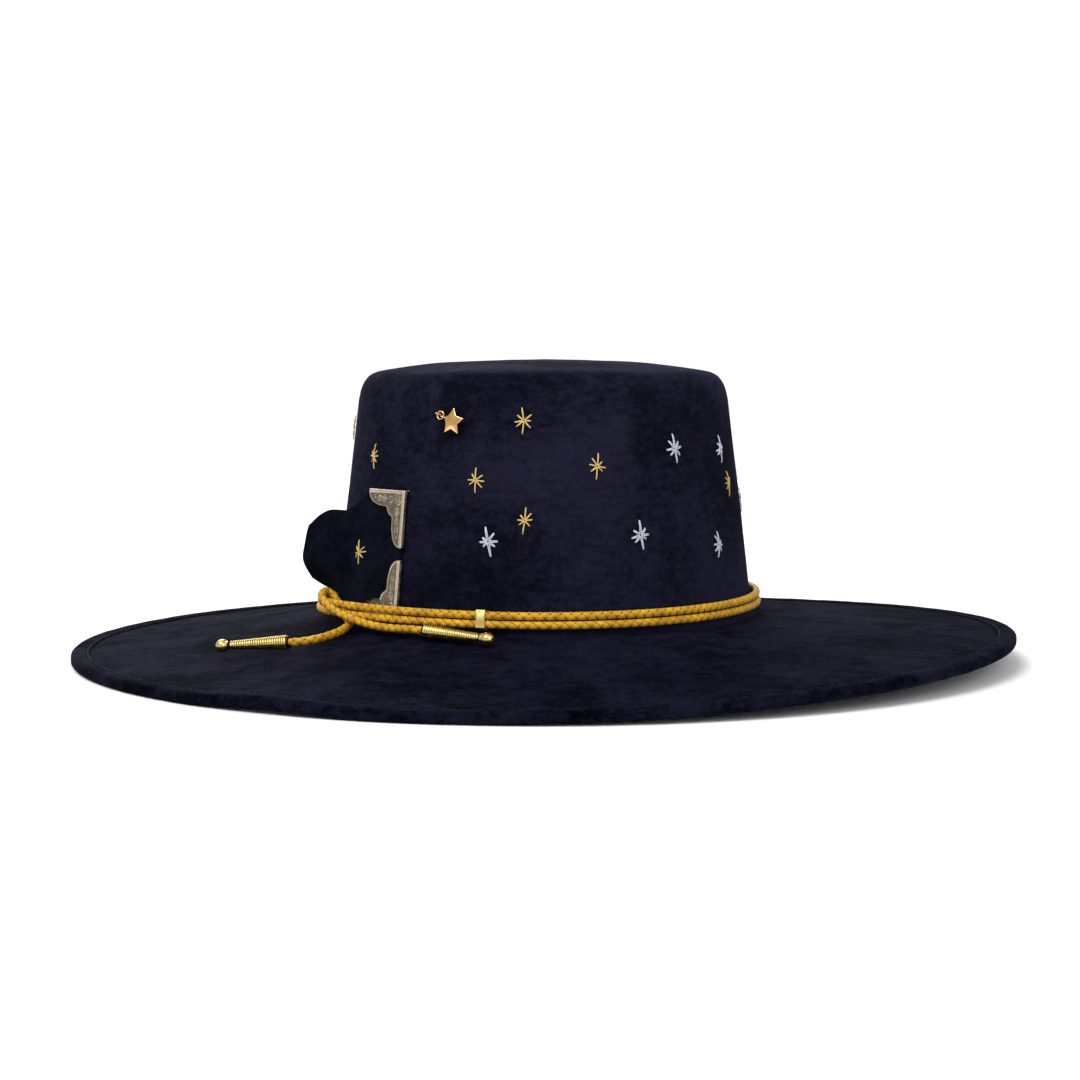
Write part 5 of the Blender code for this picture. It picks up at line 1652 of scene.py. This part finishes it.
@dataclass(frozen=True)
class SewnStars:
    """Stars of eight straight stitches each, sewn round the crown and on the flap."""

    hat: HatShape
    flap: FlapShape
    finishes: Finishes
    tall: float = 5.4 * MM
    wide: float = 4.0 * MM
    strand: float = 0.30 * MM
    rings: int = 34
    sides: int = 8
    twist: float = 8.0 / MM
    bed: float = 0.12 * MM
    height: float = 0.62 * MM
    height_step: float = 0.03 * MM
    eye: float = 0.25 * MM
    pair_half: float = 0.36 * MM
    flap_along: float = 25.6 * MM
    flap_up: float = 24.0 * MM

    # Each star's thread and place: its azimuth, and its height as a share of the wall's.
    PLACES = (
        ("gold_front_high", -5.5, 0.924), ("gold_left_high", -57.0, 0.749), ("gold_front_left", -18.7, 0.666),
        ("gold_front_right", 14.6, 0.727), ("silver_right_high", 39.5, 0.796),
        ("silver_far_right_high", 62.2, 0.783), ("gold_far_right", 65.9, 0.620),
        ("silver_side_right", 84.0, 0.529), ("gold_front_low", -5.0, 0.496), ("silver_front_low", -14.6, 0.403),
        ("silver_right_low", 26.3, 0.425), ("silver_far_right_low", 55.5, 0.355), ("gold_side_right", 98.0, 0.792),
        ("silver_back_right", 118.0, 0.635), ("gold_back_right", 137.0, 0.848), ("gold_back_low", 152.0, 0.434),
        ("silver_back", 171.0, 0.702), ("gold_back_left", -165.0, 0.870), ("silver_back_left", -147.0, 0.523),
        ("gold_side_left", -124.0, 0.770), ("silver_side_left", -103.0, 0.591),
        ("gold_left_back_high", -84.0, 0.870))

    def stitch(self, start: tuple[float, float], end: tuple[float, float], lift: float,
               radius: float) -> tuple[list, list]:
        """One twisted strand from the star's middle outwards.

        Args:
            start: (across, up) of its inner end.
            end: (across, up) of its outer end.
            lift: how high it stands at its middle.
            radius: of the strand.

        Returns:
            Its points as (across, up, out), and its ply values, which paint shade in the twist's grooves.
        """
        length = math.hypot(end[0] - start[0], end[1] - start[1])
        along = ((end[0] - start[0]) / length, (end[1] - start[1]) / length)
        points, painted_light = [], []
        for i in range(self.rings):
            share = i / (self.rings - 1)
            rise = lift * math.sin(math.pi * min(1.0, 0.22 + 0.80 * share)) ** 0.6 + self.bed
            narrow = 1.0 - 0.35 * (abs(2 * share - 1)) ** 5
            for j in range(self.sides):
                angle = 2 * math.pi * j / self.sides
                # 1 on the ply and 0 in its groove: it shapes the strand and paints shade in the groove.
                ply = abs(math.cos(angle - self.twist * length * share / 2))
                reach = radius * narrow * (0.66 + 0.34 * ply)
                sideways = reach * math.cos(angle)
                points.append((start[0] + along[0] * length * share - along[1] * sideways,
                               start[1] + along[1] * length * share + along[0] * sideways,
                               max(0.03 * MM, rise + reach * math.sin(angle))))
                painted_light.append(ply)
        return points, painted_light

    def star(self, name: str, place: Place, thread: Thread, seed: int) -> None:
        """One star, its stitches a little uneven.

        Args:
            name: the end of its CAD node's name.
            place: gives the world place of (across, up, out).
            thread: its thread.
            seed: sets its unevenness.
        """
        wobble = np.random.default_rng(seed)
        silver = thread is Thread.SILVER
        grow = 1.1 if silver else 1.0
        thick = self.strand * (0.82 if silver else 1.1)
        lean = math.radians(wobble.uniform(-8.0, 8.0))
        points, painted_light, faces = [], [], []
        for arm in range(8):
            angle = lean + math.pi * arm / 4 + math.radians(wobble.uniform(-9.0, 9.0))
            reach = (self.tall if arm % 4 == 2 else self.wide) * grow
            reach *= wobble.uniform(0.88, 1.0) if arm % 4 == 2 else wobble.uniform(0.66, 1.0)
            tip = (reach * math.cos(angle), reach * math.sin(angle))
            off = self.pair_half if silver else 0.0
            for strand in ((-1.0, 1.0) if silver else (0.0,)):
                bow = (-math.sin(angle) * off * strand, math.cos(angle) * off * strand)
                start = (self.eye * math.cos(angle) + bow[0], self.eye * math.sin(angle) + bow[1])
                end = (tip[0] + bow[0] * 0.45, tip[1] + bow[1] * 0.45)
                more, ply = self.stitch(start, end, self.height - self.height_step * arm, thick)
                faces += tube_faces(len(points), self.rings, self.sides)
                points += more
                painted_light += ply
        piece = mesh_object(f"thread_{name}", [place(*p) for p in points], faces)
        set_attribute(piece, "ply", np.array(painted_light))
        settle(piece, 60.0)
        material = self.finishes.silver_thread if silver else self.finishes.gold_thread
        dress(piece, f"thread_{name}", material, [f"star_{name}"])

    def build(self) -> None:
        """Sew every star."""
        wall = self.hat.crown_height - self.hat.shoulder_drop
        for seed, (name, azimuth, share) in enumerate(self.PLACES):
            on_wall = partial(self.hat.wrap, azimuth, self.hat.base + share * wall)
            self.star(name, on_wall, Thread(name.split("_")[0]), seed)

        def on_flap(across: float, up: float, out: float) -> Vector:
            """The world place of a point of the flap's star."""
            z = self.flap.low + self.flap_up + up
            share = self.flap.front * (self.flap_along - across) / self.flap.length_at(z)
            return self.flap.place(share, z, self.flap.thickness / 2 + 0.1 * MM + out)

        self.star("gold_flap", on_flap, Thread.GOLD, 40)


@dataclass(frozen=True)
class StarCharm:
    """The puffed star, its lug, the jump ring and the thread that holds it."""

    hat: HatShape
    finishes: Finishes
    azimuth: float = -29.7
    up: float = 84.2 * MM
    radius: float = 5.6 * MM
    waist: float = 0.52
    half_thickness: float = 1.2 * MM
    edge: float = 0.35 * MM
    lug_arm: float = 0.74
    tilt: float = math.radians(-22.0)
    off_wall: float = 1.8 * MM
    ring_radius: float = 1.55 * MM
    ring_wire: float = 0.3 * MM
    lug_radius: float = 0.95 * MM
    lug_wire: float = 0.3 * MM
    lug_sink: float = 0.1 * MM
    loop: float = 0.25 * MM
    thread_off: float = 0.1 * MM
    rounding: float = 0.16 * MM

    def frame(self) -> tuple[Vector, Vector, Vector, Vector]:
        """The ring's centre, and the directions to the star, across it and outwards."""
        z = self.hat.base + self.up
        tangent, upward, outward = self.hat.crown_frame(self.azimuth, z)
        centre = self.hat.on_crown(self.azimuth, z) + outward * self.off_wall
        toward = tangent * math.cos(self.tilt) + upward * math.sin(self.tilt)
        return centre, toward, outward.cross(toward).normalized(), outward

    @staticmethod
    def torus(centre: Vector, first: Vector, second: Vector, radius: float, wire: float) -> Piece:
        """A wire ring in the plane of two directions."""
        piece = primitive("torus", major_radius=radius, minor_radius=wire, major_segments=48, minor_segments=14)
        axis = first.cross(second).normalized()
        shape(piece, lambda at: centre + first * at.x + second * at.y + axis * at.z)
        return piece

    def star(self) -> None:
        """The puffed star with its lug."""
        centre, toward, across, outward = self.frame()
        lug_centre = centre + toward * self.ring_radius
        middle = lug_centre + toward * (self.lug_radius - self.lug_sink + self.radius * self.lug_arm)
        piece = primitive("circle", vertices=10, radius=self.radius, fill_type="TRIFAN",
                          rotation=(0.0, 0.0, math.pi / 10))
        apply_place(piece)

        def pointed(at: Vector) -> Vector:
            """Draw the circle's vertices out to the points and in to the notches."""
            if at.length < self.radius / 2:
                return at
            number = round(math.degrees(math.atan2(at.y, at.x)) / 36.0) % 10
            angle = math.pi * number / 5
            share = self.waist if number % 2 == 0 else 1.0
            if number == 5:
                share = self.lug_arm
            return Vector((self.radius * share * math.cos(angle), self.radius * share * math.sin(angle), 0.0))

        shape(piece, pointed)
        edit_all(piece, lambda: extrude(0.0, 0.0, 2 * self.edge),
                 lambda: bpy.ops.transform.translate(value=(0.0, 0.0, -self.edge)),
                 lambda: bpy.ops.mesh.subdivide(number_cuts=1))
        puff = self.half_thickness - self.edge

        def puffed(at: Vector) -> Vector:
            """Raise both faces towards the middle."""
            if abs(at.z) < self.edge * 0.5:
                return at
            off = min(1.0, math.hypot(at.x, at.y) / (self.radius * 0.8))
            lift = puff * (1.0 - off ** 1.6)
            return Vector((at.x, at.y, at.z + math.copysign(lift, at.z)))

        shape(piece, puffed)
        apply_modifier(piece, "BEVEL", width=self.rounding, segments=2, limit_method="ANGLE",
                       angle_limit=math.radians(50.0))
        apply_modifier(piece, "SUBSURF", levels=1, render_levels=1)
        shape(piece, lambda at: middle + toward * at.x + across * at.y + outward * at.z)
        lug = self.torus(lug_centre, toward, outward, self.lug_radius, self.lug_wire)
        join(piece, lug)
        settle(piece, 28.0)
        dress(piece, "star_pendant", self.finishes.charm, ["charm_star"], "charm")

    def build(self) -> None:
        """Make the star, its ring and the thread."""
        self.star()
        centre, toward, across, outward = self.frame()
        ring = self.torus(centre, toward, across, self.ring_radius, self.ring_wire)
        settle(ring)
        dress(ring, "jump_ring", self.finishes.charm, ["charm_jump_ring"], "charm_ring")
        held = centre - toward * self.ring_radius
        reach = self.ring_wire + GAP + self.loop
        thread = primitive("torus", major_radius=reach, minor_radius=self.loop, major_segments=40,
                           minor_segments=10)
        foot = self.off_wall - self.thread_off

        def looped(at: Vector) -> Vector:
            """Draw the loop's inner half down to the cloth."""
            down = min(0.0, at.y)
            return held + toward * at.x + outward * (max(at.y, 0.0) + down * foot / reach) + across * at.z

        shape(thread, looped)
        # Painted light and shade in flecks that follow the vertex numbers, standing in for the twist.
        set_attribute(thread, "ply", 0.5 + 0.5 * np.sin(1.9 * np.arange(len(thread.data.vertices))))
        settle(thread, 60.0)
        dress(thread, "ring_thread", self.finishes.gold_thread, ["charm_thread"])


# ---------------------------------------------------------------- assembly

def main() -> None:
    """Build the studio and the hat, piece by piece."""
    logging.basicConfig(level=logging.INFO, format="%(message)s")
    Studio().build()
    hat = HatShape()
    flap = FlapShape(hat)
    finishes = make_finishes()
    CordBand(hat, finishes).build()
    Crown(hat, finishes).build()
    Brim(hat, finishes).build()
    SideFlap(flap, finishes).build()
    SewnStars(hat, flap, finishes).build()
    StarCharm(hat, finishes).build()


if __name__ == "__main__":
    main()
